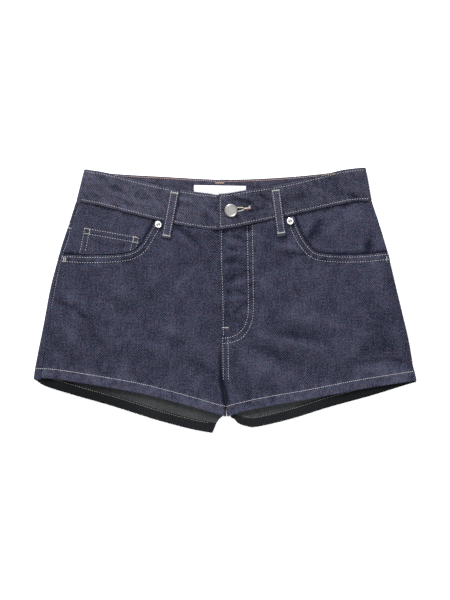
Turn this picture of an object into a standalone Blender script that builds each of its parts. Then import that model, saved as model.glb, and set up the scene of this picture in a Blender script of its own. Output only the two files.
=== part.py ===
"""Denim shorts laid flat on their back, front side up.

Metres, +Z up, +Y towards the waist, the wearer's right side at -X. The tables and sizes are in
millimetres. Every piece of cloth is a wall between two grids of points, its face and its back.
"""

import math

import bmesh
import bpy
import numpy as np

MM = 0.001

# ---- Driving sizes, in millimetres ----
DENIM = 1.2               # one layer of denim
TURNED = 1.2              # a hem's turned-up layer
EDGE_FOLD = 0.7           # the turned layer along a pocket opening
BAG_CLOTH = 1.0           # pocketing, two thin layers together
BAND = 2.6                # the waistband's wall, two layers and its seam allowance
GAP = 0.3                 # between sewn pieces
SEAT_LIFT = 1.5           # the seat lies on its pockets and loops, this far off the floor
HEM_DEPTH = 14.0          # height of the turned-up hem
EDGE_DEPTH = 10.0         # width of the turned edge along a pocket opening
BAND_HEIGHT = 42.5        # the waistband, edge to seam
LAP = 6.0                 # how far the right front runs under the left one
LOOP_WIDTH = 11.7
LOOP_CLOTH = 1.5
BUTTON_ACROSS = 17.0
RIVET_ACROSS = 9.0

# Heights above the floor, in millimetres
BAG_FLOOR = 3.1           # underside of the pocket bags and the fly shield
FACING_FLOOR = 4.35       # underside of the pocket facings
FRONT_FLOOR = 5.95        # underside of the front panels over the pockets and the fly
LEG_FLOOR = 3.25          # underside of the front panels below them
BAND_FLOOR = 5.3          # underside of the front half of the waistband
BAND_STEP = 2.9           # the waistband's overlapping end lies this much higher

# ---- Outline tables, in millimetres ----
# The right side's outline (at -X): height y and width x
RIGHT_SIDE = [
    # y, x
    (125.3, -189.2),
    (96.0, -198.6),
    (68.8, -207.6),
    (39.6, -215.6),
    (12.5, -222.5),
    (-29.7, -230.2),
    (-60.4, -236.4),
    (-87.4, -241.8),
    (-101.0, -243.6),
]
# The left side's outline (at +X)
LEFT_SIDE = [
    # y, x
    (125.3, 186.4),
    (96.3, 196.2),
    (61.4, 206.6),
    (39.4, 211.9),
    (1.1, 221.0),
    (-45.3, 232.2),
    (-69.2, 236.6),
    (-81.1, 238.6),
    (-104.3, 243.6),
]
# Lower edges of the fronts, from the side to the inner leg
FRONT_HEM_RIGHT = [
    # x, y
    (-241.3, -99.1),
    (-215.4, -100.6),
    (-163.6, -108.7),
    (-107.1, -118.9),
    (-53.0, -132.8),
    (-12.0, -144.6),
    (2.0, -147.8),
]
FRONT_HEM_LEFT = [
    # x, y
    (240.6, -102.6),
    (210.7, -107.2),
    (162.2, -115.4),
    (108.1, -126.0),
    (51.3, -136.0),
    (18.9, -143.2),
    (2.4, -147.8),
]
# Lower edges of the backs, from the side to the inner leg
BACK_HEM_RIGHT = [
    # x, y
    (-243.6, -101.4),
    (-227.1, -110.0),
    (-189.5, -121.7),
    (-142.6, -135.1),
    (-87.6, -152.4),
    (-43.3, -164.1),
    (-15.2, -168.8),
]
BACK_HEM_LEFT = [
    # x, y
    (243.6, -104.6),
    (223.6, -110.0),
    (184.8, -121.9),
    (132.3, -136.3),
    (83.7, -151.3),
    (41.1, -161.2),
    (27.0, -160.4),
    (16.6, -156.6),
    (8.6, -150.6),
]
# Upper and lower edge of the front half of the waistband
BAND_TOP = [
    # x, y
    (-178.9, 166.4),
    (-144.9, 160.4),
    (-95.4, 147.8),
    (-52.2, 139.5),
    (-8.0, 134.6),
    (26.5, 139.2),
    (79.9, 148.2),
    (121.8, 158.1),
    (150.0, 165.2),
    (178.9, 168.5),
]
BAND_SEAM = [
    # x, y
    (-189.2, 125.3),
    (-155.1, 118.8),
    (-100.8, 104.8),
    (-44.6, 92.8),
    (-8.0, 89.4),
    (39.2, 97.6),
    (102.7, 111.6),
    (157.4, 123.6),
    (186.4, 125.3),
]
# Upper edge of the back half of the waistband
BACK_TOP = [
    # x, y
    (-178.9, 166.4),
    (-144.9, 160.8),
    (-78.9, 156.8),
    (0.0, 153.0),
    (78.9, 156.2),
    (144.9, 163.0),
    (178.9, 168.5),
]
# The scooped pocket openings, from the side to the waistband seam
POCKET_RIGHT = [
    # x, y
    (-206.8, 57.9),
    (-164.0, 56.5),
    (-124.6, 59.5),
    (-108.1, 68.4),
    (-98.6, 83.0),
    (-88.0, 101.9),
]
POCKET_LEFT = [
    # x, y
    (207.0, 60.6),
    (165.9, 57.2),
    (122.0, 59.2),
    (106.6, 69.0),
    (95.4, 86.5),
    (87.0, 108.2),
]
# The hidden lower edge of the facing, from under the opening to its inner edge
FACING_EDGE = [
    # distance from the middle, y
    (140.0, 43.5),
    (112.0, 45.0),
    (92.0, 58.0),
    (80.0, 78.0),
]
FACING_DROP = 13.0        # how far the facing runs down behind the opening's edge
# The free edge of the left front, which laps over the right one down to the crotch
LAP_EDGE = [
    # y, x
    (95.0, -8.0),
    (50.0, -7.8),
    (5.0, -6.2),
    (-60.0, -5.1),
    (-102.0, -4.2),
    (-118.0, -0.7),
    (-136.0, 1.2),
    (-148.0, 2.4),
]
# The seam between the two backs, and the slit between the legs below the crotch
BACK_CENTRE = [
    # y, x
    (60.0, 0.0),
    (-60.0, 0.0),
    (-102.0, -0.6),
    (-118.0, -0.9),
    (-136.0, 1.0),
    (-148.0, 2.2),
]
# The inner end of each back leg, below the fronts
BACK_INNER_RIGHT = [
    # y, x
    (-118.0, -1.2),
    (-136.0, 0.6),
    (-146.0, -1.4),
    (-153.6, -8.9),
    (-168.8, -15.2),
]
BACK_INNER_LEFT = [
    # y, x
    (-118.0, -0.6),
    (-136.0, 1.4),
    (-144.0, 3.6),
    (-150.6, 8.6),
]

# The largest folds of the fronts: soft ridges and troughs, each along a straight line
FOLDS = [
    # from x, y, to x, y, half width, height
    (-226.0, 0.0, -186.0, -11.0, 7.0, -0.9),
    (-218.0, 14.0, -190.0, 4.0, 7.0, 0.6),
    (-176.7, -16.7, -160.0, -42.0, 8.0, 0.7),
    (-66.0, 88.0, -40.0, 70.0, 7.0, 0.7),
    (60.0, 61.0, 94.0, 56.0, 6.0, 0.7),
    (166.0, -79.0, 240.0, -79.0, 6.0, 0.8),
    (-24.0, -70.0, -48.0, -100.0, 9.0, 0.8),
    (28.0, -66.0, 56.0, -98.0, 9.0, 0.8),
]
FRONT_LOOPS = [
    # name, top x, y, bottom x, y
    ("belt_loop_front_right", -63.1, 141.0, -75.0, 79.0),
    ("belt_loop_front_left", 63.9, 141.4, 71.9, 81.0),
]
BACK_LOOPS = [
    # name, top x, y, bottom x, y
    ("belt_loop_back_right", -102.0, 157.6, -100.0, 99.0),
    ("belt_loop_back_centre", 0.0, 153.4, 0.0, 95.0),
    ("belt_loop_back_left", 102.0, 158.0, 100.0, 99.5),
]
BUTTON_AT = (7.6, 113.3)
BUTTONHOLE = {"eye": 3.1, "slit": 0.7, "reach": 21.0, "rise": 3.0}
UNDER_END = 24.0          # where the waistband's under end stops, at +X
RIVETS = [
    # name, x, y
    ("rivet_right", -84.7, 95.8),
    ("rivet_left", 82.6, 100.1),
]
CURL_STEPS = 4            # columns in a quarter turn of a fold
SMOOTH_STEPS = 10         # points between two rows of a table


# ---- Lines and patches ----
def smooth(points):
    """A Catmull-Rom line through the points, as an array of (first, second) values."""
    rows = np.array([row[:2] for row in points], dtype=float)
    before = 2.0 * rows[0] - rows[1]
    after = 2.0 * rows[-1] - rows[-2]
    rows = np.vstack([before, rows, after])
    line = []
    for i in range(1, len(rows) - 2):
        a, b, c, d = rows[i - 1:i + 3]
        for k in range(SMOOTH_STEPS):
            t = k / SMOOTH_STEPS
            line.append(0.5 * (2.0 * b + (c - a) * t + (2.0 * a - 5.0 * b + 4.0 * c - d) * t * t
                               + (3.0 * b - a - 3.0 * c + d) * t ** 3))
    line.append(rows[-2])
    return np.array(line)


def reader(table, column=1):
    """A function that reads one column of a table by its first column."""
    line = smooth([(row[0], row[column]) for row in table])
    order = np.argsort(line[:, 0])
    first = line[order, 0]
    second = line[order, 1]
    return lambda value: float(np.interp(value, first, second))


def along(line, share):
    """The point of a line at a share of its length."""
    steps = np.hypot(*np.diff(line, axis=0).T)
    reach = np.concatenate([[0.0], np.cumsum(steps)])
    at = share * reach[-1]
    return np.array([np.interp(at, reach, line[:, 0]), np.interp(at, reach, line[:, 1])])


def length(line):
    return float(np.sum(np.hypot(*np.diff(line, axis=0).T)))


def edge_by_height(x_at, y_start, y_end, steps=24):
    """A line whose x is a function of its height."""
    heights = np.linspace(y_start, y_end, steps)
    return np.array([(x_at(y), y) for y in heights])


def patch(top, bottom, left, right, u, v):
    """The Coons patch of four border lines, which meet at their ends."""
    corners = (top[0], top[-1], bottom[0], bottom[-1])
    by_rows = (1.0 - v) * along(top, u) + v * along(bottom, u)
    by_columns = (1.0 - u) * along(left, v) + u * along(right, v)
    both = ((1.0 - u) * (1.0 - v) * corners[0] + u * (1.0 - v) * corners[1]
            + (1.0 - u) * v * corners[2] + u * v * corners[3])
    return by_rows + by_columns - both


def ladder(span, first, count, last):
    """Shares of a span: steps near its start, even ones, and steps near its end."""
    near = [d / span for d in first]
    far = [1.0 - d / span for d in last]
    start = near[-1] if near else 0.0
    end = far[0] if far else 1.0
    inner = [start + (end - start) * k / count for k in range(1, count)]
    head = near if near else [0.0]
    tail = far if far else [1.0]
    return head + inner + tail


def soft_step(value, low, high):
    """0 below low, 1 above high, and smooth between them."""
    t = min(1.0, max(0.0, (value - low) / (high - low)))
    return t * t * (3.0 - 2.0 * t)


# ---- Heights ----
right_outline = reader(RIGHT_SIDE)
left_outline = reader(LEFT_SIDE)
lap_edge = reader(LAP_EDGE)
back_centre = reader(BACK_CENTRE)
band_top = reader(BAND_TOP)
band_seam = reader(BAND_SEAM)
back_top = reader(BACK_TOP)


def back_seam(x):
    """The waistband's lower edge behind, which meets the front one at both sides."""
    share = 1.0 - (abs(x) / 187.0) ** 4
    flat = back_top(x) - BAND_HEIGHT
    return flat * share + band_seam(x) * (1.0 - share)


def back_level(y):
    """Underside of the backs: the seat lies on its pockets, the legs on the floor."""
    return SEAT_LIFT * soft_step(y, -96.0, -55.0)


def front_level(y):
    """Underside of the fronts, before their folds."""
    return LEG_FLOOR + (FRONT_FLOOR - LEG_FLOOR) * soft_step(y, -98.0, -52.0)


def side_top(y):
    """The height of the side fold's upper face, lower beside the open pockets."""
    return front_level(y) + DENIM - 0.75 * soft_step(y, 61.0, 76.0)


def fold_radius(y):
    return 0.5 * (side_top(y) - back_level(y))


def side_inset(y):
    """The right side seam lies on the front, this far inside the outline."""
    return 3.9 + 5.7 * (1.0 - soft_step(y, -100.0, 60.0))


def fold_height(x, y):
    """What the large folds add to the fronts' height."""
    total = 0.0
    for x0, y0, x1, y1, width, height in FOLDS:
        dx = x1 - x0
        dy = y1 - y0
        t = ((x - x0) * dx + (y - y0) * dy) / (dx * dx + dy * dy)
        t = min(1.0, max(0.0, t))
        away = math.hypot(x - x0 - t * dx, y - y0 - t * dy)
        ends = math.sin(math.pi * min(1.0, max(0.0, 0.12 + 0.76 * t)))
        total += height * ends * math.exp(-(away / width) ** 2)
    return total


def side_fade(x, y):
    """1 inside the fronts, 0 at the side folds."""
    room = min(x - right_outline(y), left_outline(y) - x)
    return soft_step(room, 4.0, 16.0)


def front_floor(x, y):
    """Underside of a front panel."""
    level = front_level(y)
    return level + (side_top(y) - DENIM - level) * (1.0 - side_fade(x, y)) \
        + fold_height(x, y) * side_fade(x, y)


def legs_apart(y):
    """0 above the crotch, where the fronts overlap, and 1 below it, where each leg is a tube."""
    return 1.0 - soft_step(y, -132.0, -104.0)


def lap_share(y):
    """1 where the right front runs under the left one, 0 where they only lie side by side."""
    return soft_step(y, -103.0, -89.0)


# ---- Meshes ----
def new_material(name, color, roughness, metallic=0.0):
    material = bpy.data.materials.new(name)
    material.use_nodes = True
    shader = material.node_tree.nodes["Principled BSDF"]
    shader.inputs["Base Color"].default_value = (*color, 1.0)
    shader.inputs["Roughness"].default_value = roughness
    shader.inputs["Metallic"].default_value = metallic
    return material


def add_object(name, verts, faces, material, smooth_faces=True):
    mesh = bpy.data.meshes.new(name)
    mesh.from_pydata([(x * MM, y * MM, z * MM) for x, y, z in verts], [], faces)
    work = bmesh.new()
    work.from_mesh(mesh)
    bmesh.ops.recalc_face_normals(work, faces=work.faces)
    work.to_mesh(mesh)
    work.free()
    mesh.materials.append(material)
    if smooth_faces:
        mesh.shade_smooth()
        mesh.set_sharp_from_angle(angle=math.radians(40.0))
    piece = bpy.data.objects.new(name, mesh)
    bpy.context.scene.collection.objects.link(piece)
    return piece


def wall(name, face, back, material):
    """A closed wall between two grids of points, given as rows of columns."""
    rows = len(face)
    columns = len(face[0])
    verts = [point for row in face for point in row] + [point for row in back for point in row]
    shift = rows * columns

    def at(i, j, side):
        return i * columns + j + side * shift

    faces = []
    for i in range(rows - 1):
        for j in range(columns - 1):
            faces.append((at(i, j, 0), at(i, j + 1, 0), at(i + 1, j + 1, 0), at(i + 1, j, 0)))
            faces.append((at(i, j, 1), at(i + 1, j, 1), at(i + 1, j + 1, 1), at(i, j + 1, 1)))
    border = [(0, j) for j in range(columns)]
    border += [(i, columns - 1) for i in range(1, rows)]
    border += [(rows - 1, j) for j in range(columns - 2, -1, -1)]
    border += [(i, 0) for i in range(rows - 2, 0, -1)]
    for k, here in enumerate(border):
        there = border[(k + 1) % len(border)]
        faces.append((at(*here, 0), at(*here, 1), at(*there, 1), at(*there, 0)))
    return add_object(name, verts, faces, material)


def turned(name, profile, at, material, segments=24):
    """A piece turned about the vertical line at x, y from a profile of radius and height.

    The profile starts and ends on the line, from its lowest point to its highest.
    """
    verts = [(at[0], at[1], profile[0][1])]
    for radius, height in profile[1:-1]:
        for k in range(segments):
            angle = 2.0 * math.pi * k / segments
            verts.append((at[0] + radius * math.cos(angle), at[1] + radius * math.sin(angle),
                          height))
    verts.append((at[0], at[1], profile[-1][1]))
    last = len(verts) - 1
    rings = len(profile) - 2
    faces = []
    for k in range(segments):
        after = (k + 1) % segments
        faces.append((0, 1 + after, 1 + k))
        for ring in range(rings - 1):
            low = 1 + ring * segments
            high = low + segments
            faces.append((low + k, low + after, high + after, high + k))
        top = 1 + (rings - 1) * segments
        faces.append((top + k, top + after, last))
    return add_object(name, verts, faces, material)


def curl(reach, turn, share):
    """Where a strip of a given length is, at a share of it, when it bends by a turn in all.

    Gives the way along the flat, the way down from it, and the direction of the strip's face.
    """
    angle = turn * share
    if turn < 0.01:
        return reach * share, 0.0, 0.0
    radius = reach / turn
    return radius * math.sin(angle), radius * (1.0 - math.cos(angle)), angle


# ---- Front panels ----
def front_panel(name, mirror, pocket, hem, material):
    """A front panel. mirror is -1 for the wearer's right one, at -X, and 1 for the left one."""
    is_left = mirror > 0

    def outer_x(y):
        if is_left:
            return left_outline(y) - fold_radius(y)
        return right_outline(y) + side_inset(y) + 0.5 * GAP

    def edge_x(y):
        if is_left:
            return lap_edge(y) + 0.2 * legs_apart(y)
        return lap_edge(y) + LAP * lap_share(y) - 0.35 * (1.0 - lap_share(y))

    def inner_x(y):
        """Where the panel's inner edge starts to curl down between the legs."""
        reach = 0.5 * math.pi * fold_radius(y)
        flat_reach = curl(reach, 0.5 * math.pi * legs_apart(y), 1.0)[0]
        return edge_x(y) + mirror * flat_reach

    outer_start = pocket[0][1] - 0.5 * GAP
    outer_end = hem[0][1]
    inner_start = min(band_seam(edge_x(90.0)), band_seam(inner_x(90.0))) - GAP
    inner_end = hem[-1][1]
    outer = edge_by_height(outer_x, outer_start, outer_end)
    inner = edge_by_height(inner_x, inner_start, inner_end)
    opening = smooth([outer[0]] + [row for row in pocket[1:]])
    opening[:, 1] -= 0.5 * GAP * np.linspace(0.0, 1.0, len(opening))
    seam_xs = np.linspace(pocket[-1][0], inner[0][0], 16)[1:]
    seam = np.array([(x, band_seam(x) - GAP) for x in seam_xs])
    seam[-1] = inner[0]
    top = np.vstack([opening, seam])
    bottom = smooth([outer[-1]] + [row for row in hem[1:-1]] + [inner[-1]])
    corner = length(opening) / length(top)

    columns = [corner * k / 11 for k in range(11)]
    columns += [corner + (0.93 - corner) * k / 5 for k in range(5)]
    columns += [0.93, 0.96, 0.985, 1.0]
    face = []
    back = []
    for u in columns:
        span = float(np.hypot(*(along(top, u) - along(bottom, u))))
        shares = ladder(span, [0.0, EDGE_DEPTH - 1.5, EDGE_DEPTH + 1.5], 14,
                        [HEM_DEPTH, HEM_DEPTH - 1.5, 0.0])
        for i, v in enumerate(shares):
            if len(face) <= i:
                face.append([])
                back.append([])
            x, y = patch(top, bottom, outer, inner, u, v)
            in_hem = i >= len(shares) - 2
            in_edge = i <= 1 and u < corner + 0.01
            cloth = DENIM + TURNED * in_hem + EDGE_FOLD * in_edge
            low = front_floor(x, y)
            if not is_left:
                low -= lap_dip(x, y)
            back[i].append((x, y, low))
            face[i].append((x, y, low + cloth))
    for i, row in enumerate(face):
        in_hem = i >= len(face) - 2
        cloth = DENIM + TURNED * in_hem
        x, y, high = row[-1]
        add_curl(face[i], back[i], x, y, high, cloth, -mirror,
                 0.5 * math.pi * fold_radius(y), 0.5 * math.pi * legs_apart(y), is_left)
        if is_left:
            x, y, high = row[0]
            side_face = []
            side_back = []
            add_curl(side_face, side_back, x, y, high, cloth, mirror,
                     0.5 * math.pi * 0.5 * (high - back_level(y)), 0.5 * math.pi, True)
            face[i][:0] = side_face[::-1]
            back[i][:0] = side_back[::-1]
    return wall(name, face, back, material)


def lap_dip(x, y):
    """How far the right front goes down to pass under the left one's edge."""
    depth = DENIM + GAP
    near = soft_step(x - lap_edge(y), -15.0, -2.0)
    return depth * near * soft_step(y, -117.0, -104.0)


def add_curl(face, back, x, y, high, cloth, way, reach, turn, is_left):
    """Adds the columns of an edge that curls down by a turn, going along X by a way of 1 or -1."""
    for k in range(1, CURL_STEPS + 1):
        share = k / CURL_STEPS
        if k == CURL_STEPS:
            share -= 0.5 * GAP / reach
        out, down, angle = curl(reach, turn, share)
        flat_x = x + way * out
        dip = 0.0
        if not is_left:
            dip = lap_dip(flat_x, y) - lap_dip(x, y)
        face.append((flat_x, y, high - down - dip))
        back.append((flat_x - way * cloth * math.sin(angle), y,
                     high - down - dip - cloth * math.cos(angle)))


# ---- Back panels and yokes ----
def wrapped_row(flat, way, cloth):
    """Continues a row of a back piece round the side fold, from its outer column outwards.

    way is -1 at the right side, where the piece reaches the seam on the front, and 1 at the
    left side, where it stops half-way up the fold. Gives the new columns, outermost last.
    """
    x, y, low = flat
    radius = 0.5 * (side_top(y) - low)
    centre = low + radius
    face = []
    back = []
    if way > 0:
        turns = [0.5 * math.pi * k / CURL_STEPS for k in range(1, CURL_STEPS + 1)]
        turns[-1] -= 0.5 * GAP / radius
    else:
        turns = [math.pi * k / (2 * CURL_STEPS) for k in range(1, 2 * CURL_STEPS + 1)]
    inner = max(0.2, radius - cloth)
    for turn in turns:
        out = math.sin(turn)
        up = -math.cos(turn)
        face.append((x + way * radius * out, y, centre + radius * up))
        back.append((x + way * inner * out, y, centre + inner * up))
    if way < 0:
        seam_x = right_outline(y) + side_inset(y) - 0.5 * GAP
        face.append((seam_x, y, low + 2.0 * radius))
        back.append((seam_x, y, low + radius + inner))
    return face, back


def side_flat_x(mirror):
    """Where a back piece's flat part ends, at each height."""
    if mirror > 0:
        return lambda y: left_outline(y) - fold_radius(y)
    return lambda y: right_outline(y) + fold_radius(y)


def yoke_seam(x):
    """The pointed seam between the yoke and the backs."""
    return 54.0 + 44.0 * max(0.0, abs(x) - 6.0) / 194.0


def yoke(name, mirror, material):
    flat_x = side_flat_x(mirror)
    outer = edge_by_height(flat_x, 125.0, yoke_seam(199.0))
    inner = edge_by_height(lambda y: 0.5 * GAP * mirror, back_seam(0.0) - GAP, yoke_seam(0.0))
    xs = np.linspace(outer[0][0], inner[0][0], 20)
    top = np.array([(x, back_seam(x) - GAP) for x in xs])
    outer[0] = top[0]
    xs = np.linspace(outer[-1][0], inner[-1][0], 20)
    bottom = np.array([(x, yoke_seam(x)) for x in xs])
    outer[-1] = bottom[0]
    inner[-1] = bottom[-1]
    face = []
    back = []
    for i in range(5):
        v = i / 4
        row = [patch(top, bottom, outer, inner, u, v) for u in ladder(190.0, [], 12, [])]
        low_row = [(x, y, back_level(y)) for x, y in row]
        high_row = [(x, y, back_level(y) + DENIM) for x, y in row]
        side_face, side_back = wrapped_row(low_row[0], mirror, DENIM)
        face.append(side_face[::-1] + low_row)
        back.append(side_back[::-1] + high_row)
    return wall(name, face, back, material)


def back_panel(name, mirror, hem, inner_table, material):
    """A back panel, from the yoke to the hem, whose turned-up layer lies inside."""
    flat_x = side_flat_x(mirror)
    leg_inner = reader(inner_table)
    outer_start = yoke_seam(199.0) - GAP
    outer = edge_by_height(flat_x, outer_start, hem[0][1])

    def edge_x(y):
        centre = back_centre(y) + 0.5 * GAP * mirror
        if y > -118.0:
            return centre
        return leg_inner(y) + 0.5 * GAP * mirror

    def open_turn(y):
        """How far the inner edge curls up between the legs; the free end below lies flatter."""
        return 0.5 * math.pi * legs_apart(y) * (1.0 - 0.75 * soft_step(-y, 141.0, 152.0))

    def inner_x(y):
        reach = 0.5 * math.pi * fold_radius(y)
        return edge_x(y) + mirror * curl(reach, open_turn(y), 1.0)[0]

    inner = edge_by_height(inner_x, yoke_seam(0.0) - GAP, hem[-1][1], 40)
    xs = np.linspace(outer[0][0], inner[0][0], 20)
    top = np.array([(x, yoke_seam(x) - GAP) for x in xs])
    outer[0] = top[0]
    inner[0] = top[-1]
    bottom = smooth([outer[-1]] + [row for row in hem[1:-1]] + [inner[-1]])
    columns = [k / 15 for k in range(15)] + [0.965, 1.0]
    low_grid = []
    high_grid = []
    for u in columns:
        span = float(np.hypot(*(along(top, u) - along(bottom, u))))
        shares = ladder(span, [], 12, [HEM_DEPTH, HEM_DEPTH - 1.5, 0.0])
        for i, v in enumerate(shares):
            if len(low_grid) <= i:
                low_grid.append([])
                high_grid.append([])
            x, y = patch(top, bottom, outer, inner, u, v)
            cloth = DENIM + TURNED * (i >= len(shares) - 2)
            low_grid[i].append((x, y, back_level(y)))
            high_grid[i].append((x, y, back_level(y) + cloth))
    face = []
    back = []
    for i, low_row in enumerate(low_grid):
        cloth = DENIM + TURNED * (i >= len(low_grid) - 2)
        side_face, side_back = wrapped_row(low_row[0], mirror, cloth)
        x, y, low = low_row[-1]
        in_face = []
        in_back = []
        reach = 0.5 * math.pi * fold_radius(y)
        for k in range(1, CURL_STEPS + 1):
            share = k / CURL_STEPS
            if k == CURL_STEPS:
                share -= 0.5 * GAP / reach
            out, up, angle = curl(reach, open_turn(y), share)
            in_face.append((x - mirror * out, y, low + up))
            in_back.append((x - mirror * (out - cloth * math.sin(angle)), y,
                            low + up + cloth * math.cos(angle)))
        face.append(side_face[::-1] + low_row + in_face)
        back.append(side_back[::-1] + high_grid[i] + in_back)
    return wall(name, face, back, material)


# ---- Waistband ----
def between(low, high, share):
    return low + (high - low) * share


def band_front_y(x, level):
    return between(band_seam(x), band_top(x), level)


def band_back_y(x, level):
    return between(back_seam(x), back_top(x), level)


def under_end_drop(x, level):
    """The under end sits a little lower than the end that laps over it."""
    return 1.3 * level * soft_step(x, -22.0, -8.0)


def over_end_lift(x):
    """The overlapping end rises over the under end near the centre front."""
    return BAND_STEP * soft_step(-x, -52.0, -UNDER_END - 2.0)


def half_turn(x, y, way, start, radius, cloth):
    """Columns of a fold from one layer to the other: start is 1 from the top, -1 from below."""
    centre = SEAT_LIFT + radius
    face = []
    back = []
    for k in range(1, 2 * CURL_STEPS):
        turn = math.pi * k / (2 * CURL_STEPS)
        for columns, arm in ((face, radius), (back, radius - cloth)):
            columns.append((x + way * arm * math.sin(turn), y,
                            centre + start * arm * math.cos(turn)))
    return face, back


def waistband(name, material):
    """The band from its under end at the centre front, round the back, to its upper end."""
    radius = 0.5 * (BAND_FLOOR + BAND - SEAT_LIFT)
    face = []
    back = []
    for k in range(5):
        level = k / 4
        right = between(RIGHT_SIDE[0][1], BAND_TOP[0][0], level) + radius
        left = between(LEFT_SIDE[0][1], BAND_TOP[-1][0], level) - radius
        face_row = []
        back_row = []
        for x in np.linspace(UNDER_END, right, 21):
            y = band_front_y(x, level) - under_end_drop(x, level)
            face_row.append((x, y, BAND_FLOOR + BAND))
            back_row.append((x, y, BAND_FLOOR))
        turn_face, turn_back = half_turn(right, band_front_y(right, level), -1.0, 1.0,
                                         radius, BAND)
        face_row += turn_face
        back_row += turn_back
        for x in np.linspace(right, left, 33):
            y = band_back_y(x, level)
            face_row.append((x, y, SEAT_LIFT))
            back_row.append((x, y, SEAT_LIFT + BAND))
        turn_face, turn_back = half_turn(left, band_front_y(left, level), 1.0, -1.0,
                                         radius, BAND)
        face_row += turn_face
        back_row += turn_back
        for x in np.linspace(left, lap_edge(95.0), 23):
            y = band_front_y(x, level)
            low = BAND_FLOOR + over_end_lift(x)
            face_row.append((x, y, low + BAND))
            back_row.append((x, y, low))
        face.append(face_row)
        back.append(back_row)
    return wall(name, face, back, material)


def cut_buttonhole(band):
    """Cuts the keyhole: a round eye for the button's shank and a slit away from the edge."""
    eye = BUTTONHOLE["eye"]
    slit = BUTTONHOLE["slit"]
    reach = BUTTONHOLE["reach"]
    outline = []
    for k in range(13):
        angle = math.radians(30.0 + 300.0 * k / 12)
        outline.append((eye * math.cos(angle), eye * math.sin(angle)))
    outline.append((reach, -slit))
    outline.append((reach, slit))
    tilt = math.atan2(BUTTONHOLE["rise"], reach)
    count = len(outline)
    verts = []
    for height in (BAND_FLOOR + BAND + 0.15, BAND_FLOOR + BAND + BAND_STEP + 1.0):
        for x, y in outline:
            verts.append((BUTTON_AT[0] + x * math.cos(tilt) - y * math.sin(tilt),
                          BUTTON_AT[1] + x * math.sin(tilt) + y * math.cos(tilt), height))
    faces = [tuple(range(count)), tuple(range(2 * count - 1, count - 1, -1))]
    for k in range(count):
        after = (k + 1) % count
        faces.append((k, after, count + after, count + k))
    cutter = add_object("buttonhole_cutter", verts, faces, band.data.materials[0], False)
    cutter.hide_render = True
    cutter.display_type = "WIRE"
    cut = band.modifiers.new("buttonhole", "BOOLEAN")
    cut.operation = "DIFFERENCE"
    cut.object = cutter


# ---- Pockets, fly and small pieces ----
def flat_piece(name, corners, low, cloth, material, rows=2, columns=2, sides=None):
    """A flat piece between four corners: top left, top right, bottom left, bottom right."""
    face = []
    back = []
    tl, tr, bl, br = [np.array(corner, dtype=float) for corner in corners]
    for i in range(rows + 1):
        v = i / rows
        face.append([])
        back.append([])
        for j in range(columns + 1):
            u = j / columns
            x, y = (1 - v) * ((1 - u) * tl + u * tr) + v * ((1 - u) * bl + u * br)
            if sides:
                x, y = sides(x, y, u, v)
            z = low(x, y) if callable(low) else low
            face[i].append((x, y, z + cloth))
            back[i].append((x, y, z))
    return wall(name, face, back, material)


def pocket_facing(name, mirror, pocket, material):
    """The denim inside a pocket opening, from the waistband seam to below the opening."""
    is_left = mirror > 0

    def outer_x(y):
        if is_left:
            return left_outline(y) - fold_radius(y)
        return right_outline(y) + side_inset(y) + 0.5 * GAP

    start = band_seam(outer_x(124.0)) - GAP
    end = pocket[0][1] + 0.5 * GAP
    outer = edge_by_height(outer_x, start, end)
    inner_top = (74.0 * mirror, band_seam(74.0 * mirror) - GAP)
    xs = np.linspace(outer[0][0], inner_top[0], 16)
    top = np.array([(x, band_seam(x) - GAP) for x in xs])
    top[0] = outer[0]
    edge = reader(pocket)
    lower = []
    for inset in (8.0, 16.0, 26.0, 38.0):
        x = outer[-1][0] - mirror * inset
        lower.append((x, edge(x) + GAP - (FACING_DROP + GAP) * soft_step(inset, 15.0, 37.0)))
    lower += [(mirror * row[0], row[1]) for row in FACING_EDGE]
    bottom = smooth([outer[-1]] + lower)
    inner = np.array([top[-1], bottom[-1]])
    face = []
    back = []
    for i in range(9):
        v = i / 8
        face.append([])
        back.append([])
        for u in ladder(130.0, [0.0, 4.0, 10.0, 18.0], 10, []):
            x, y = patch(top, bottom, outer, inner, u, v)
            rise = 1.0 - soft_step(abs(x - outer_x(y)), 2.0, 14.0)
            low = FACING_FLOOR + (side_top(y) - DENIM - FACING_FLOOR) * rise
            face[i].append((x, y, low + DENIM))
            back[i].append((x, y, low))
        if is_left:
            x, y, high = face[i][0]
            side_face = []
            side_back = []
            add_curl(side_face, side_back, x, y, high, DENIM, mirror,
                     0.25 * math.pi * (high - back_level(y)), 0.5 * math.pi, True)
            face[i][:0] = side_face[::-1]
            back[i][:0] = side_back[::-1]
    return wall(name, face, back, material)


def coin_pocket(name, material):
    """The small pocket on the right facing, which runs down into the pocket opening."""
    edge = reader(POCKET_RIGHT)
    left_y = 92.8
    right_y = 80.2

    def shape(x, _, u, v):
        return x, between(between(left_y, right_y, u), edge(x) + 4.0 * GAP, v)

    corners = [(-179.6, left_y), (-108.0, right_y), (-186.0, 58.0), (-112.6, 63.0)]
    return flat_piece(name, corners, FACING_FLOOR + DENIM + GAP, 1.0, material, 4, 10, shape)


def pocket_bag(name, mirror, material):
    def shape(x, y, u, v):
        return x, y + 26.0 * (2.0 * u - 1.0) ** 4 * v

    corners = [(mirror * 186.0, 100.0), (mirror * 84.0, 92.0),
               (mirror * 192.0, -30.0), (mirror * 92.0, -34.0)]
    return flat_piece(name, corners, BAG_FLOOR, BAG_CLOTH, material, 8, 8, shape)


def back_pocket(name, mirror, material):
    """A plain patch pocket with a pointed lower edge."""
    def shape(x, y, u, v):
        return x, y - 16.0 * v * (1.0 - abs(2.0 * u - 1.0))

    corners = [(mirror * 50.0, 58.0), (mirror * 176.0, 74.0),
               (mirror * 60.0, -42.0), (mirror * 168.0, -30.0)]
    return flat_piece(name, corners, 0.0, DENIM, material, 8, 8, shape)


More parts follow.
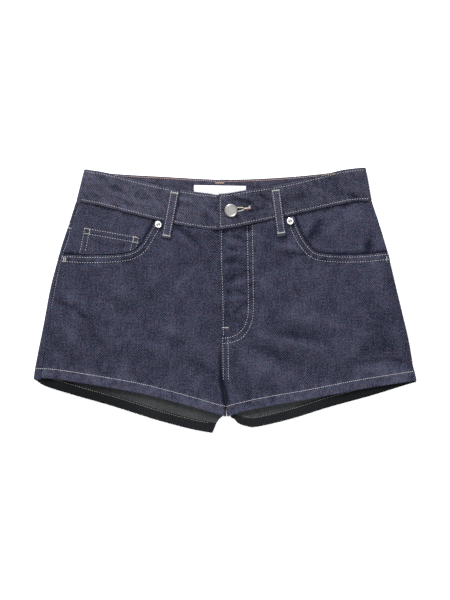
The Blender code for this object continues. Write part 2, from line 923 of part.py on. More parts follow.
def belt_loop(name, top, bottom, heights, material):
    """A strap from its top to its bottom, following undersides given along its length."""
    top = np.array(top)
    bottom = np.array(bottom)
    across = np.array([bottom[1] - top[1], top[0] - bottom[0]])
    across = 0.5 * LOOP_WIDTH * across / np.hypot(*across)
    face = []
    back = []
    for share, low in heights:
        spot = top + (bottom - top) * share
        face.append([])
        back.append([])
        for k in (-1.0, -0.75, 0.0, 0.75, 1.0):
            x, y = spot + across * k
            edge = 0.25 * (abs(k) == 1.0)
            face[-1].append((x, y, low + LOOP_CLOTH - edge))
            back[-1].append((x, y, low))
    return wall(name, face, back, material)


def remove_start_objects():
    for thing in list(bpy.data.objects):
        bpy.data.objects.remove(thing, do_unlink=True)


def build():
    remove_start_objects()
    denim = new_material("denim", (0.045, 0.048, 0.082), 0.85)
    denim_inside = new_material("denim_wrong_side", (0.052, 0.055, 0.056), 0.9)
    pocketing = new_material("pocketing", (0.62, 0.61, 0.58), 0.9)
    label_cloth = new_material("label_cloth", (0.9, 0.9, 0.93), 0.7)
    steel = new_material("bright_steel", (0.62, 0.61, 0.6), 0.28, 1.0)
    zip_metal = new_material("zip_metal", (0.5, 0.48, 0.42), 0.4, 1.0)

    front_panel("front_right", -1.0, POCKET_RIGHT, FRONT_HEM_RIGHT, denim)
    front_panel("front_left", 1.0, POCKET_LEFT, FRONT_HEM_LEFT, denim)
    back_panel("back_right", -1.0, BACK_HEM_RIGHT, BACK_INNER_RIGHT, denim)
    back_panel("back_left", 1.0, BACK_HEM_LEFT, BACK_INNER_LEFT, denim)
    yoke("yoke_right", -1.0, denim)
    yoke("yoke_left", 1.0, denim)
    band = waistband("waistband", denim)
    cut_buttonhole(band)
    pocket_facing("pocket_facing_right", -1.0, POCKET_RIGHT, denim)
    pocket_facing("pocket_facing_left", 1.0, POCKET_LEFT, denim)
    coin_pocket("coin_pocket", denim)
    pocket_bag("pocket_bag_right", -1.0, pocketing)
    pocket_bag("pocket_bag_left", 1.0, pocketing)
    back_pocket("back_pocket_right", -1.0, denim)
    back_pocket("back_pocket_left", 1.0, denim)

    shield = [(-5.0, 86.0), (31.0, 88.0), (-3.0, -44.0), (12.0, -44.0)]
    flat_piece("fly_shield", shield, BAG_FLOOR, BAG_CLOTH, denim_inside, 4, 2)
    tape = [(-0.8, 84.0), (13.2, 84.0), (2.0, -40.0), (14.0, -40.0)]
    flat_piece("zip", tape, BAG_FLOOR + BAG_CLOTH + GAP, 1.1, zip_metal, 4, 2)

    band_face = BAND_FLOOR + BAND + GAP
    panel_face = FRONT_FLOOR + DENIM + GAP
    for name, x0, y0, x1, y1 in FRONT_LOOPS:
        heights = [(0.0, band_face), (0.06, band_face + 0.1), (0.2, band_face + 1.0),
                   (0.45, band_face + 1.2), (0.66, band_face + 0.5), (0.8, band_face),
                   (0.92, panel_face + 0.2), (1.0, panel_face + 0.1)]
        belt_loop(name, (x0, y0), (x1, y1), heights, denim)
    for name, x0, y0, x1, y1 in BACK_LOOPS:
        heights = [(0.0, 0.0), (0.3, 0.0), (0.6, 0.0), (1.0, 0.0)]
        loop = belt_loop(name, (x0, y0), (x1, y1), heights, denim)
        loop.scale.z = (SEAT_LIFT - GAP) / LOOP_CLOTH

    label = [(-39.5, 146.0), (26.8, 144.8), (-39.5, 119.0), (26.8, 119.0)]
    flat_piece("label", label, SEAT_LIFT + BAND + 0.25, 0.6, label_cloth, 2, 6)

    foot = BAND_FLOOR + BAND + GAP
    under_cap = foot + BAND_STEP + 0.2
    rim = 0.5 * BUTTON_ACROSS
    button_profile = [
        # radius, height
        (0.0, foot),
        (2.4, foot),
        (2.4, under_cap),
        (rim - 0.8, under_cap),
        (rim, under_cap + 0.7),
        (rim - 0.2, under_cap + 1.5),
        (rim - 1.4, under_cap + 1.9),
        (rim - 2.6, under_cap + 1.5),
        (3.6, under_cap + 1.6),
        (1.4, under_cap + 2.0),
        (0.0, under_cap + 2.1),
    ]
    turned("button", button_profile, BUTTON_AT, steel, 32)
    rivet_foot = FRONT_FLOOR + DENIM + EDGE_FOLD + GAP
    rim = 0.5 * RIVET_ACROSS
    rivet_profile = [
        # radius, height
        (0.0, rivet_foot),
        (rim, rivet_foot),
        (rim, rivet_foot + 0.5),
        (rim - 0.8, rivet_foot + 1.1),
        (2.0, rivet_foot + 0.8),
        (1.5, rivet_foot + 1.5),
        (0.0, rivet_foot + 1.8),
    ]
    for name, x, y in RIVETS:
        turned(name, rivet_profile, (x, y), steel, 20)


build()
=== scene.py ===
"""Denim shorts laid flat on their back: the fine cloth, its sewing, its finish and the studio.

Tables and sizes are in millimetres, +Y towards the waist, the wearer's right side at -X. Each
piece of cloth is a wall between two grids of points, its face and its back, on the outlines and
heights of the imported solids, with the finer folds, rolled edges and puckers added.
"""

import math
import random

import bmesh
import bpy
import numpy as np
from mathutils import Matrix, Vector, noise
from mathutils.bvhtree import BVHTree
from mathutils.kdtree import KDTree


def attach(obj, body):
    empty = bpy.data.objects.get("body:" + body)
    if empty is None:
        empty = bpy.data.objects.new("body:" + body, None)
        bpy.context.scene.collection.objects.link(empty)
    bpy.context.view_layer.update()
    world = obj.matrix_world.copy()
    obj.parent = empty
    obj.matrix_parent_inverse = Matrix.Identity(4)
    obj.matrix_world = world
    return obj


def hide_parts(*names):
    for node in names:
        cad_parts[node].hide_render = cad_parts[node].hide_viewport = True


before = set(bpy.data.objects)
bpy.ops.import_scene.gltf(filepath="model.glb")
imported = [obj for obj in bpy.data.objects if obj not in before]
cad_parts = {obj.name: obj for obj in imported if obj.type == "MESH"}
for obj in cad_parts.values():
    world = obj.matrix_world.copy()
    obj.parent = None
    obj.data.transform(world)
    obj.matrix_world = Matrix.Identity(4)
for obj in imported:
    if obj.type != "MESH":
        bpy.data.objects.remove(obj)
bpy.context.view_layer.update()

MM = 0.001
QUARTER = 0.5 * math.pi
SIDES = (("right", -1.0), ("left", 1.0))

# ---- Driving sizes, as in the solids ----
DENIM = 1.2
TURNED = 1.2              # a hem's turned-up layer
EDGE_FOLD = 0.7           # the turned layer along a pocket opening
BAG_CLOTH = 1.0
COIN_CLOTH = 1.0
ZIP_CLOTH = 1.1
LABEL_CLOTH = 0.5
BAND = 2.6                # the waistband's wall
GAP = 0.3                 # between sewn pieces
SEAT_LIFT = 1.5           # the seat lies on its pockets and loops, this far off the floor
HEM_DEPTH = 14.0
EDGE_DEPTH = 10.0         # width of the turned edge along a pocket opening
BAND_HEIGHT = 42.5
LAP = 6.0                 # how far the right front runs under the left one
LOOP_WIDTH = 11.7
LOOP_CLOTH = 1.5
BUTTON_ACROSS = 17.0
BUTTON_NECK = 2.4         # its radius
RIVET_ACROSS = 9.0
BAG_FLOOR = 3.1           # undersides: of the pocket bags, the facings, the fronts over the
FACING_FLOOR = 4.35       # pockets, the fronts below them and the waistband's front half
FRONT_FLOOR = 5.95
LEG_FLOOR = 3.25
BAND_FLOOR = 5.3
BAND_STEP = 2.9           # the waistband's overlapping end lies this much higher
FACING_DROP = 13.0        # how far a facing runs down behind its opening's edge
UNDER_END = 24.0          # where the waistband's under end stops, at +X
LAP_TOP = 95.0            # the height at which the over end's edge is read
HALF_SEAT = 187.0         # half the width of the seam that joins the yokes to the band
YOKE_MIDDLE = 54.0        # y of the yokes' lower seam, and how much higher it is at the sides
YOKE_RISE = 44.0
SEAM_INSET = (9.6, 3.9)   # from the right side to its seam, at the hem and at the waist

# ---- Where one form passes into another, by y ----
SEAT_RISE = (-96.0, -55.0)     # the backs leave the floor
FRONT_RISE = (-98.0, -52.0)    # the fronts rise over the pockets
WAIST_DROP = (61.0, 76.0)      # the side folds sink under the waistband
LEGS_JOIN = (-132.0, -104.0)   # the legs' inner edges meet
LAP_START = (-103.0, -89.0)    # the right front runs under the left one
INNER_SPLIT = -118.0           # below this, each back has its own inner edge

# ---- The finer form ----
STEP = 1.7                # grid of the pieces that show
STEP_BEHIND = 2.3         # grid of the back pieces
FRONT_TALL = 200.0        # lengths that the steps are counted on
BACK_TALL = 190.0
FACING_TALL = 76.0
BAND_UNDER = 206.0
BAND_BEHIND = 368.0
BAND_OVER = 190.0
EDGE_RINGS = [0.0, 0.12, 0.4, 0.9]   # distances from an edge where its round gets points
END_RINGS = EDGE_RINGS[::-1]         # and from the edge at the other end
# Shares of a curling edge's length that get columns, closer together near its end
CURL_SHARES = np.array([0.125, 0.25, 0.375, 0.5, 0.625, 0.75, 0.86, 0.93, 0.975, 1.0])
SOLE = 0.25               # the outer face lies this far off the floor, on its stitches
TWILL_PITCH = 2.24        # between two twill lines
TWILL_ANGLE = 46.0        # of the twill lines, from straight across the grain
LEG_GRAIN = 2.0           # each leg's grain leans outwards by this many degrees
RELIEF_PAINTED_SHADE = 1.5               # painted light and shade: how much lighter raised cloth, and darker sunken cloth, is painted for each millimetre

# ---- Sewing: rows by their distance from the edge or seam that they follow ----
STITCH = 1.75
STITCH_PITCH = 3.2
THREAD = 0.25             # half the width of the topstitching thread
FRONT_HEM_STITCH = (2.6, 2.15, 0.24)    # pitch, stitch and thread
BACK_HEM_STITCH = (2.9, 2.15, THREAD)
INNER_HEM_STITCH = (2.9, 2.0, 0.2)
LOOP_STITCH = (3.0, 1.75, 0.29)
ON_FLOOR = 0.04           # stitches underneath are pressed flat at this height
LARGEST_DROP = 2.2        # no stitch is laid across a larger step of the cloth
HEM_ROW = 12.2
BACK_HEM_ROW = 12.0
OPENING_ROWS = (2.7, 9.1)
BAND_TOP_ROW = 3.2
BAND_SEAM_ROW = 3.4
POCKET_ROWS = (2.0, 8.0)
COIN_ROWS = (1.5, 8.0)
LOOP_ROW = 3.95           # from a belt loop's middle
SEAT_ROWS = [             # below the yoke's seam, beside the centre back
    (2.2, 2.4), (8.4, 8.6),
]

# ---- Outlines ----
RIGHT_SIDE = [   # y, x
    (125.3, -189.2), (96, -198.6), (68.8, -207.6), (39.6, -215.6), (12.5, -222.5),
    (-29.7, -230.2), (-60.4, -236.4), (-87.4, -241.8), (-101, -243.6),
]
LEFT_SIDE = [   # y, x
    (125.3, 186.4), (96.3, 196.2), (61.4, 206.6), (39.4, 211.9), (1.1, 221), (-45.3, 232.2),
    (-69.2, 236.6), (-81.1, 238.6), (-104.3, 243.6),
]
FRONT_HEM_RIGHT = [   # x, y
    (-241.3, -99.1), (-215.4, -100.6), (-163.6, -108.7), (-107.1, -118.9), (-53, -132.8),
    (-12, -144.6), (2, -147.8),
]
FRONT_HEM_LEFT = [   # x, y
    (240.6, -102.6), (210.7, -107.2), (162.2, -115.4), (108.1, -126), (51.3, -136),
    (18.9, -143.2), (2.4, -147.8),
]
BACK_HEM_RIGHT = [   # x, y
    (-243.6, -101.4), (-227.1, -110), (-189.5, -121.7), (-142.6, -135.1), (-87.6, -152.4),
    (-43.3, -164.1), (-15.2, -168.8),
]
BACK_HEM_LEFT = [   # x, y
    (243.6, -104.6), (223.6, -110), (184.8, -121.9), (132.3, -136.3), (83.7, -151.3),
    (41.1, -161.2), (27, -160.4), (16.6, -156.6), (8.6, -150.6),
]
BAND_TOP = [   # x, y
    (-178.9, 166.4), (-144.9, 160.4), (-95.4, 147.8), (-52.2, 139.5), (-8, 134.6),
    (26.5, 139.2), (79.9, 148.2), (121.8, 158.1), (150, 165.2), (178.9, 168.5),
]
BAND_SEAM = [   # x, y
    (-189.2, 125.3), (-155.1, 118.8), (-100.8, 104.8), (-44.6, 92.8), (-8, 89.4), (39.2, 97.6),
    (102.7, 111.6), (157.4, 123.6), (186.4, 125.3),
]
BACK_TOP = [   # x, y
    (-178.9, 166.4), (-144.9, 160.8), (-78.9, 156.8), (0, 153), (78.9, 156.2), (144.9, 163),
    (178.9, 168.5),
]
POCKET_RIGHT = [   # x, y
    (-206.8, 57.9), (-164, 56.5), (-124.6, 59.5), (-108.1, 68.4), (-98.6, 83), (-88, 101.9),
]
POCKET_LEFT = [   # x, y
    (207, 60.6), (165.9, 57.2), (122, 59.2), (106.6, 69), (95.4, 86.5), (87, 108.2),
]
FACING_EDGE = [   # distance from the middle, y
    (140, 43.5), (112, 45), (92, 58), (80, 78),
]
LAP_EDGE = [   # y, x
    (95, -8), (50, -7.8), (5, -6.2), (-60, -5.1), (-102, -4.2), (-118, -0.7), (-136, 1.2),
    (-148, 2.4),
]
BACK_CENTRE = [   # y, x
    (60, 0), (-60, 0), (-102, -0.3), (-118, 0.3), (-136, 2.1), (-148, 3),
]
BACK_INNER_RIGHT = [   # y, x
    (-118, 0.1), (-136, 1.9), (-146, -1), (-153.6, -8.9), (-168.8, -15.2),
]
BACK_INNER_LEFT = [   # y, x
    (-118, 0.5), (-136, 2.4), (-144, 4.2), (-150.6, 8.6),
]
FLY_INNER = [   # x, y
    (28.3, 94), (29.2, 40), (29.6, -6), (28.9, -20), (26, -30), (22.6, -36.8), (17.6, -42),
    (12, -45.6), (4, -47.6), (-4.6, -48.7),
]
FLY_OUTER = [   # x, y
    (34.7, 95.5), (35.6, 40), (35.9, -8), (34.9, -23.6), (32.3, -31.3), (28.6, -39.4),
    (23, -46.6), (15.8, -51.4), (7, -54), (-4, -55.3),
]
SIDE_STITCHES = [   # x, y
    (-187.3, 114.1), (-191.3, 105.7), (-195.2, 99.3), (-198, 81.7), (-200.4, 72.6),
    (-203.8, 64), (-206.5, 56), (-208.4, 47.9), (-210.7, 39.9), (-216, 12.5), (-225, -38),
    (-233, -88), (-234.4, -95.2),
]
FLY_BARTACK = (0.5, -35.2)
FRONT_LOOPS = [
    # name, top x, y, bottom x, y, how far its tacks are from the top and from the bottom
    ("belt_loop_front_right", -63.1, 141.0, -75.0, 78.4, 5.4, 3.4),
    ("belt_loop_front_left", 63.9, 141.4, 71.9, 80.4, 2.6, 4.8),
]
BACK_LOOPS = [
    # the same
    ("belt_loop_back_right", -102.0, 157.6, -100.0, 99.0, 3.0, 3.0),
    ("belt_loop_back_centre", 0.0, 153.4, 0.0, 95.0, 3.0, 3.0),
    ("belt_loop_back_left", 102.0, 158.0, 100.0, 99.5, 3.0, 3.0),
]
# Four corners: top left, top right, bottom left, bottom right
COIN_POCKET = [(-179.6, 92.8), (-108, 80.2), (-186, 58), (-112.6, 63)]
POCKET_BAG = [(186, 100), (84, 92), (192, -30), (92, -34)]
BACK_POCKET = [(50, 58), (176, 74), (60, -42), (168, -30)]
BACK_POINT = 16.0         # how far a back pocket's point hangs below its lower corners
FLY_SHIELD = [(-5, 86), (31, 88), (-3, -44), (12, -44)]
ZIP = [(-0.8, 84), (13.2, 84), (2, -40), (14, -40)]
LABEL = [(-39.5, 146), (26.8, 144.8), (-39.5, 119), (26.8, 119)]
BUTTON_AT = (7.6, 113.3)
BUTTONHOLE = {"eye": 3.1, "slit": 0.4, "reach": 16.0, "rise": 2.3}
RIVETS = [("rivet_right", -84.7, 95.8), ("rivet_left", 82.6, 100.1)]
BUTTON_RIM = [   # distance inside the rim, height above the cap's underside
    (0.8, 0.0), (0.25, 0.2), (0.0, 0.7), (0.1, 1.1), (0.5, 1.65), (1.0, 1.9), (1.5, 1.85),
    (2.0, 1.4), (2.6, 1.4), (4.9, 1.7), (6.7, 1.95),
]
RIVET_RIM = [   # distance inside the rim, height above the cloth, material before this point; the nub's darker satin steel stands partly for painted shade
    (0.1, 0.0, 0), (0.0, 0.3, 0), (0.1, 0.8, 0), (0.4, 1.1, 0), (0.9, 1.2, 0), (2.0, 1.2, 0),
    (2.3, 1.1, 0), (2.55, 0.8, 1), (2.8, 0.8, 1), (3.1, 1.0, 1), (3.7, 1.15, 1),
]

# ---- Folds: straight ridges and troughs, each from x, y, to x, y, half width, height ----
FOLDS = [
    (-226, 2, -186, -13, 4, -1.65), (-222, 16, -184, 0, 6, 0.7),
    (-186, -15, -172, -28, 3.5, -1.2), (-178, -21, -158, -60, 5, -0.75),
    (-196, -30, -186, -74, 9, 0.6), (-86, -47, -46, -57, 6, -0.9), (-84, -34, -50, -46, 8, 0.9),
    (-42, -80, -10, -97, 7, -1.2), (-52, 88, -28, 64, 4, -1.2), (-66, 88, -38, 66, 5, 1.2),
    (-28, 74, -12, 52, 5, 0.75), (20, -57, 60, -66, 5, -1.2), (58, -65, 92, -80, 7, -1.3),
    (30, -80, 84, -100, 11, 0.9), (62, -41, 131, -52, 5, -1.35), (40, -44, 118, -62, 5, 1.05),
    (70, -20, 128, -30, 9, 0.9), (62, 60, 107, 56, 2.6, -1), (60, 68, 96, 65, 4, 1.05),
    (38, 79, 68, 69, 4, 0.75), (186, -58, 166, -82, 7, -1.35), (196, -30, 204, -62, 8, -0.9),
    (166, -90, 236, -90, 7, 1.5), (112, 6, 84, -18, 10, 0.7), (-150, 30, -112, 8, 10, 0.3),
]
CREASES = [
    (-64.5, 93.8, -44.6, 80.2, 2.6, -0.9), (64.5, 56.6, 89.3, 53.2, 2.4, -0.75),
    (123.2, 101.3, 106.2, 76.3, 4.4, -1.65), (140, 96, 124, 78, 4.4, 1.05),
    (184, 78, 182, 60, 4, -1.5), (174, 76, 172, 62, 3, 0.9),
    (174.2, -80.7, 206.6, -75, 2.8, -1.2), (206.6, -75, 236, -80.7, 2.8, -1.35),
    (-150, 20, -112, 4, 5, 0.35), (150, 24, 108, 2, 5, 0.75), (130, -30, 178, -44, 5, 0.75),
    (-120, -48, -80, -66, 5, 0.75), (40, 30, 70, 8, 4, 0.6), (-36, 40, -62, 14, 4, 0.6),
]
FLY_CREASES = [
    (10, 81, 24, 77, 2.6, -0.88), (4, 74, 22, 70, 2.6, 0.75), (3, 66, 17, 63, 2.4, -0.88),
    (4, 57, 21, 60, 2.8, 0.75), (0, 48, 14, 51, 2.2, -0.75), (3, 40, 22, 42, 2.6, 0.75),
    (4, 25, 22, 33, 2.6, -1), (-2, 30, 10, 21, 2.2, -0.62), (6, 18, 24, 22, 2.6, 0.75),
    (0.5, 12, 10, 6, 2.4, -0.88), (12, 13, 23, 8, 2.2, -0.75), (6, 0, 24, 3, 2.6, 0.62),
    (27, -4, 11, -17, 2.6, -1), (3, -12, 16, -26, 2.6, 0.62), (12, -24, 24, -30, 2.4, -0.62),
]
BAND_CREASES = [
    (12, 127.6, 36.9, 121.7, 3.2, -2.2), (14, 132, 34, 128, 2.6, 1.2),
    (44, 132.6, 60, 124, 3, -1.9), (24, 108, 50, 116, 4, -1.2),
    (-143.6, 143.4, -130, 137.6, 3, -1.19), (-150, 138, -134, 130, 3.2, 1.02),
    (-60.6, 122.7, -42.1, 117.5, 3, -1.19), (-58, 129, -38, 124, 3, 0.85),
    (-40, 112, -20, 104, 3, -0.85), (96, 132, 112, 128, 3, -0.85),
    (112, 141, 130, 134, 3.4, 0.85), (-104, 132, -90, 126, 3, -1.02),
    (-120, 128, -102, 120, 3.4, 0.85), (-168, 134, -158, 126, 3, -0.85),
    (150, 136, 164, 130, 3, -0.85),
]
# Painted shade on the facings, not relief: each from x, y, to x, y, half width, and how much it
# lightens the colour, negative where it darkens.
POCKET_PAINTED_SHADE = [
    (124, 102, 106, 76, 7, -1.9), (112, 92, 100, 78, 4, -1.6), (184, 78, 182, 62, 5.5, -2.6),
    (150, 106, 132, 84, 4, 1.2), (-160, 69, -114, 66, 3.4, -1.6),
]
BACK_FOLDS = [
    (-226, -44, -176, -66, 7, 0.8), (-186, -74, -132, -92, 9, 0.6),
    (222, -40, 170, -60, 7, 0.8), (180, -70, 140, -96, 8, 0.6), (-14, -52, -52, -86, 6, 0.9),
    (-22, -76, -74, -108, 8, 0.7), (12, -54, 46, -84, 6, 0.9), (24, -80, 88, -104, 8, 0.7),
    (-8, 34, -40, 12, 5, 0.6), (6, 26, 40, 8, 5, 0.6), (-12, -8, -46, -22, 5, 0.5),
    (10, -14, 44, -30, 5, 0.5), (-206, 30, -182, 4, 5, 0.5), (204, 34, 180, 10, 5, 0.5),
    (-100, -56, -118, -84, 7, 0.5), (104, -58, 124, -82, 7, 0.5), (-150, 88, -120, 96, 5, 0.4),
    (60, 84, 92, 92, 5, 0.4),
]
COIN_CREASES = [
    (-164, 70, -140, 66, 2.8, -0.7), (-142, 66, -116, 68, 2.8, -0.8),
    (-168, 77, -146, 73, 3, 0.5), (-144, 72, -122, 72.5, 2.4, 0.6),
    (-176, 74, -170, 62, 2.4, -0.6),
]


# ---- Lines and patches ----
def points(*parts):
    """Points from their coordinates, which may be single numbers or grids."""
    return np.stack(np.broadcast_arrays(*parts), -1)


def beside(*grids):
    """Grids put side by side."""
    return np.concatenate(grids, axis=1)


def unit(way):
    return way / np.hypot(*way)


def left_of(way):
    return np.array([-way[1], way[0]])


def bell(away, width):
    return np.exp(-(away / width) ** 2)


def smooth(rows, steps=10):
    """A Catmull-Rom line through the points."""
    rows = np.array(rows, dtype=float)
    rows = np.vstack([2.0 * rows[0] - rows[1], rows, 2.0 * rows[-1] - rows[-2]])
    line = []
    for i in range(1, len(rows) - 2):
        a, b, c, d = rows[i - 1:i + 3]
        for k in range(steps):
            t = k / steps
            line.append(0.5 * (2.0 * b + (c - a) * t + (2.0 * a - 5.0 * b + 4.0 * c - d) * t * t
                               + (3.0 * b - a - 3.0 * c + d) * t ** 3))
    line.append(rows[-2])
    return np.array(line)


def reader(table):
    """A function that reads a table's second column by its first."""
    line = smooth(table)
    line = line[np.argsort(line[:, 0])]
    return lambda value: np.interp(value, line[:, 0], line[:, 1])


def reach_along(line):
    steps = np.hypot(*np.diff(line, axis=0).T)
    return np.concatenate([[0.0], np.cumsum(steps)])


def length(line):
    return float(reach_along(line)[-1])


def along(line, share):
    """The points of a line at shares of its length."""
    reach = reach_along(line)
    at = np.asarray(share) * reach[-1]
    return points(np.interp(at, reach, line[:, 0]), np.interp(at, reach, line[:, 1]))


def edge_by_height(x_at, y_start, y_end, steps=24):
    heights = np.linspace(y_start, y_end, steps)
    return points(x_at(heights), heights)


def seam_line(x_start, x_end, y_at, steps=20):
    xs = np.linspace(x_start, x_end, steps)
    return points(xs, y_at(xs))


def offset(line, away):
    """A line moved sideways, to its left where away is positive."""
    ways = np.gradient(line, axis=0)
    ways /= np.hypot(*ways.T)[:, None]
    return line + away * points(-ways[:, 1], ways[:, 0])


def row_beside(table, away):
    """A line beside an outline: above a hem where away is negative, else below an opening."""
    return offset(smooth(table), away * math.copysign(1.0, table[0][0]))


def patch(top, bottom, left, right, u, v):
    """Points down one column, at share u across, of the Coons patch of four border lines."""
    down = v[:, None]
    by_rows = (1.0 - down) * along(top, u) + down * along(bottom, u)
    by_columns = (1.0 - u) * along(left, v) + u * along(right, v)
    both = ((1.0 - u) * (1.0 - down) * top[0] + u * (1.0 - down) * top[-1]
            + (1.0 - u) * down * bottom[0] + u * down * bottom[-1])
    return by_rows + by_columns - both


def rungs(span, count, head=(0.0,), tail=(0.0,)):
    """Distances along a span: some near its start, even ones, and some near its end."""
    last = [span - d for d in tail]
    return np.concatenate([head, np.linspace(head[-1], last[0], count + 1)[1:-1], last])


def panel_grid(top, bottom, left, right, columns, count, tail=END_RINGS):
    """A panel's grid between four lines: x, y, and how far it is from the top and the bottom."""
    made = []
    for u in columns:
        span = float(np.hypot(*(along(top, u) - along(bottom, u))))
        down = rungs(span, count, EDGE_RINGS, tail)
        x, y = patch(top, bottom, left, right, u, down / span).T
        made.append((x, y, down, span - down))
    return np.array(made).transpose(1, 2, 0)


def soft_step(value, low, high):
    """0 below low, 1 above high, and smooth between them."""
    t = np.clip((value - low) / (high - low), 0.0, 1.0)
    return t * t * (3.0 - 2.0 * t)


def to_segment(x, y, x0, y0, x1, y1):
    """How far each point is from a segment, and the share of the segment nearest to it."""
    dx, dy = x1 - x0, y1 - y0
    t = np.clip(((x - x0) * dx + (y - y0) * dy) / (dx * dx + dy * dy), 0.0, 1.0)
    return np.hypot(x - x0 - t * dx, y - y0 - t * dy), t


def near(x, y, line):
    """The distance from each point to a line, and how far along the line that is."""
    best = np.full(np.shape(x), 1e9)
    way = np.zeros(np.shape(x))
    for start, end, done in zip(line[:-1], line[1:], reach_along(line)):
        away, t = to_segment(x, y, *start, *end)
        closer = away < best
        best = np.where(closer, away, best)
        way = np.where(closer, done + t * np.hypot(*(end - start)), way)
    return best, way


def swell(x, y, size, seed):
    """Smooth noise, with bumps of about the size given."""
    values = [noise.noise(Vector((a / size, b / size, seed)))
              for a, b in zip(x.ravel(), y.ravel())]
    return np.array(values).reshape(x.shape)


def ridges(x, y, table):
    """The height that a table of folds adds."""
    total = np.zeros(np.shape(x))
    for *ends, width, height in table:
        away, t = to_segment(x, y, *ends)
        total += height * np.sin(math.pi * (0.12 + 0.76 * t)) * bell(away, width)
    return total


def curl(reach, turn, share):
    """Where a strip is at a share of its length, when it bends by a turn in all."""
    turn = np.maximum(turn, 0.01)
    radius = reach / turn
    angle = turn * share
    return radius * np.sin(angle), radius * (1.0 - np.cos(angle)), angle


# ---- Heights ----
right_outline, left_outline = reader(RIGHT_SIDE), reader(LEFT_SIDE)
lap_edge, back_centre = reader(LAP_EDGE), reader(BACK_CENTRE)
band_top, band_seam, back_top = reader(BAND_TOP), reader(BAND_SEAM), reader(BACK_TOP)
fly_width = reader([(y, x) for x, y in FLY_INNER])


def back_seam(x):
    share = 1.0 - (np.abs(x) / HALF_SEAT) ** 4
    return (back_top(x) - BAND_HEIGHT) * share + band_seam(x) * (1.0 - share)


def yoke_seam(x):
    return YOKE_MIDDLE + YOKE_RISE * np.maximum(0.0, np.abs(x) - 6.0) / 194.0


def coin_top(x):
    (x0, y0), (x1, y1) = COIN_POCKET[:2]
    return y0 + (y1 - y0) * (x - x0) / (x1 - x0)


def back_level(y):
    return SEAT_LIFT * soft_step(y, *SEAT_RISE)


def front_level(y):
    return LEG_FLOOR + (FRONT_FLOOR - LEG_FLOOR) * soft_step(y, *FRONT_RISE)


def side_top(y):
    return front_level(y) + DENIM - 0.75 * soft_step(y, *WAIST_DROP)


def fold_radius(y):
    return 0.5 * (side_top(y) - back_level(y))


def fold_reach(y):
    """The length of a quarter turn round the side fold."""
    return QUARTER * fold_radius(y)


def right_seam_x(y):
    """Where the right side's seam runs, on the front."""
    at_hem, at_waist = SEAM_INSET
    return right_outline(y) + at_waist + (at_hem - at_waist) * (1.0 - soft_step(y, -100.0, 60.0))


def front_side_x(mirror):
    """Where a front panel and its facing end: at the left side's fold, or at the right seam."""
    if mirror > 0:
        return lambda y: left_outline(y) - fold_radius(y)
    return lambda y: right_seam_x(y) + 0.5 * GAP


def back_side_x(mirror):
    """Where a back piece stops being flat, at its side fold."""
    outline = left_outline if mirror > 0 else right_outline
    return lambda y: outline(y) - mirror * fold_radius(y)


def side_room(x, y):
    return np.minimum(x - right_outline(y), left_outline(y) - x)


def side_fade(x, y):
    return soft_step(side_room(x, y), 4.0, 16.0)


def drape(x, y):
    """The small unevenness of cloth that has been laid down by hand."""
    return (0.6 * swell(x, y, 44.0, 3.1) + 0.7 * swell(x, y, 21.0, 7.7)
            + 0.65 * swell(x, y, 9.0, 12.3))


def front_relief(x, y):
    """What folds, creases and drape add to the fronts and to what lies under them."""
    return (ridges(x, y, FOLDS + CREASES) + drape(x, y)) * side_fade(x, y)


def front_floor(x, y):
    level = front_level(y)
    return level + (side_top(y) - DENIM - level) * (1.0 - side_fade(x, y)) + front_relief(x, y)


def legs_apart(y):
    return 1.0 - soft_step(y, *LEGS_JOIN)


def crotch_painted_shadow(x, y):
    """Painted shadow in the cleft where the legs press together."""
    part = soft_step(y, -142.0, -124.0) * (1.0 - soft_step(y, -106.0, -84.0))
    return part * bell(x - lap_edge(y), 1.2 + 2.2 * part)


def lap_dip(x, y):
    """How far the right front sinks where it runs under the left one."""
    return (DENIM + GAP) * soft_step(x - lap_edge(y), -15.0, -2.0) * soft_step(y, -117.0, -104.0)


def puckers(away, way, seed, height=1.5, reach=5.0, size=5.2):
    """The groove along a line of stitches and the puckers beside it."""
    ripple = swell(way, np.full(np.shape(way), seed), size, 5.5)
    return -0.34 * bell(away, 1.4) + height * ripple * bell(away, reach)


def sewing_relief(x, y, lines, seed=0.0):
    return sum(puckers(*near(x, y, line), 10.0 * k + seed) for k, line in enumerate(lines))


# ---- Meshes ----
def new_object(name, verts, faces, materials, indices=None):
    mesh = bpy.data.meshes.new(name)
    mesh.from_pydata((np.asarray(verts) * MM).tolist(), [], faces)
    for material in materials:
        mesh.materials.append(material)
    if indices is not None:
        mesh.polygons.foreach_set("material_index", np.asarray(indices, dtype=np.int32))
    work = bmesh.new()
    work.from_mesh(mesh)
    bmesh.ops.recalc_face_normals(work, faces=work.faces)
    work.to_mesh(mesh)
    work.free()
    mesh.shade_smooth()
    piece = bpy.data.objects.new(name, mesh)
    bpy.context.scene.collection.objects.link(piece)
    return piece


def grain_of(x, y, degrees):
    """Each point's place across and along a grain that leans by an angle from +Y."""
    turn = math.radians(degrees)
    return points(x * math.cos(turn) + y * math.sin(turn),
                  -x * math.sin(turn) + y * math.cos(turn))


def edge_falloff(edge, reach=1.3):
    return np.exp(-edge / reach)


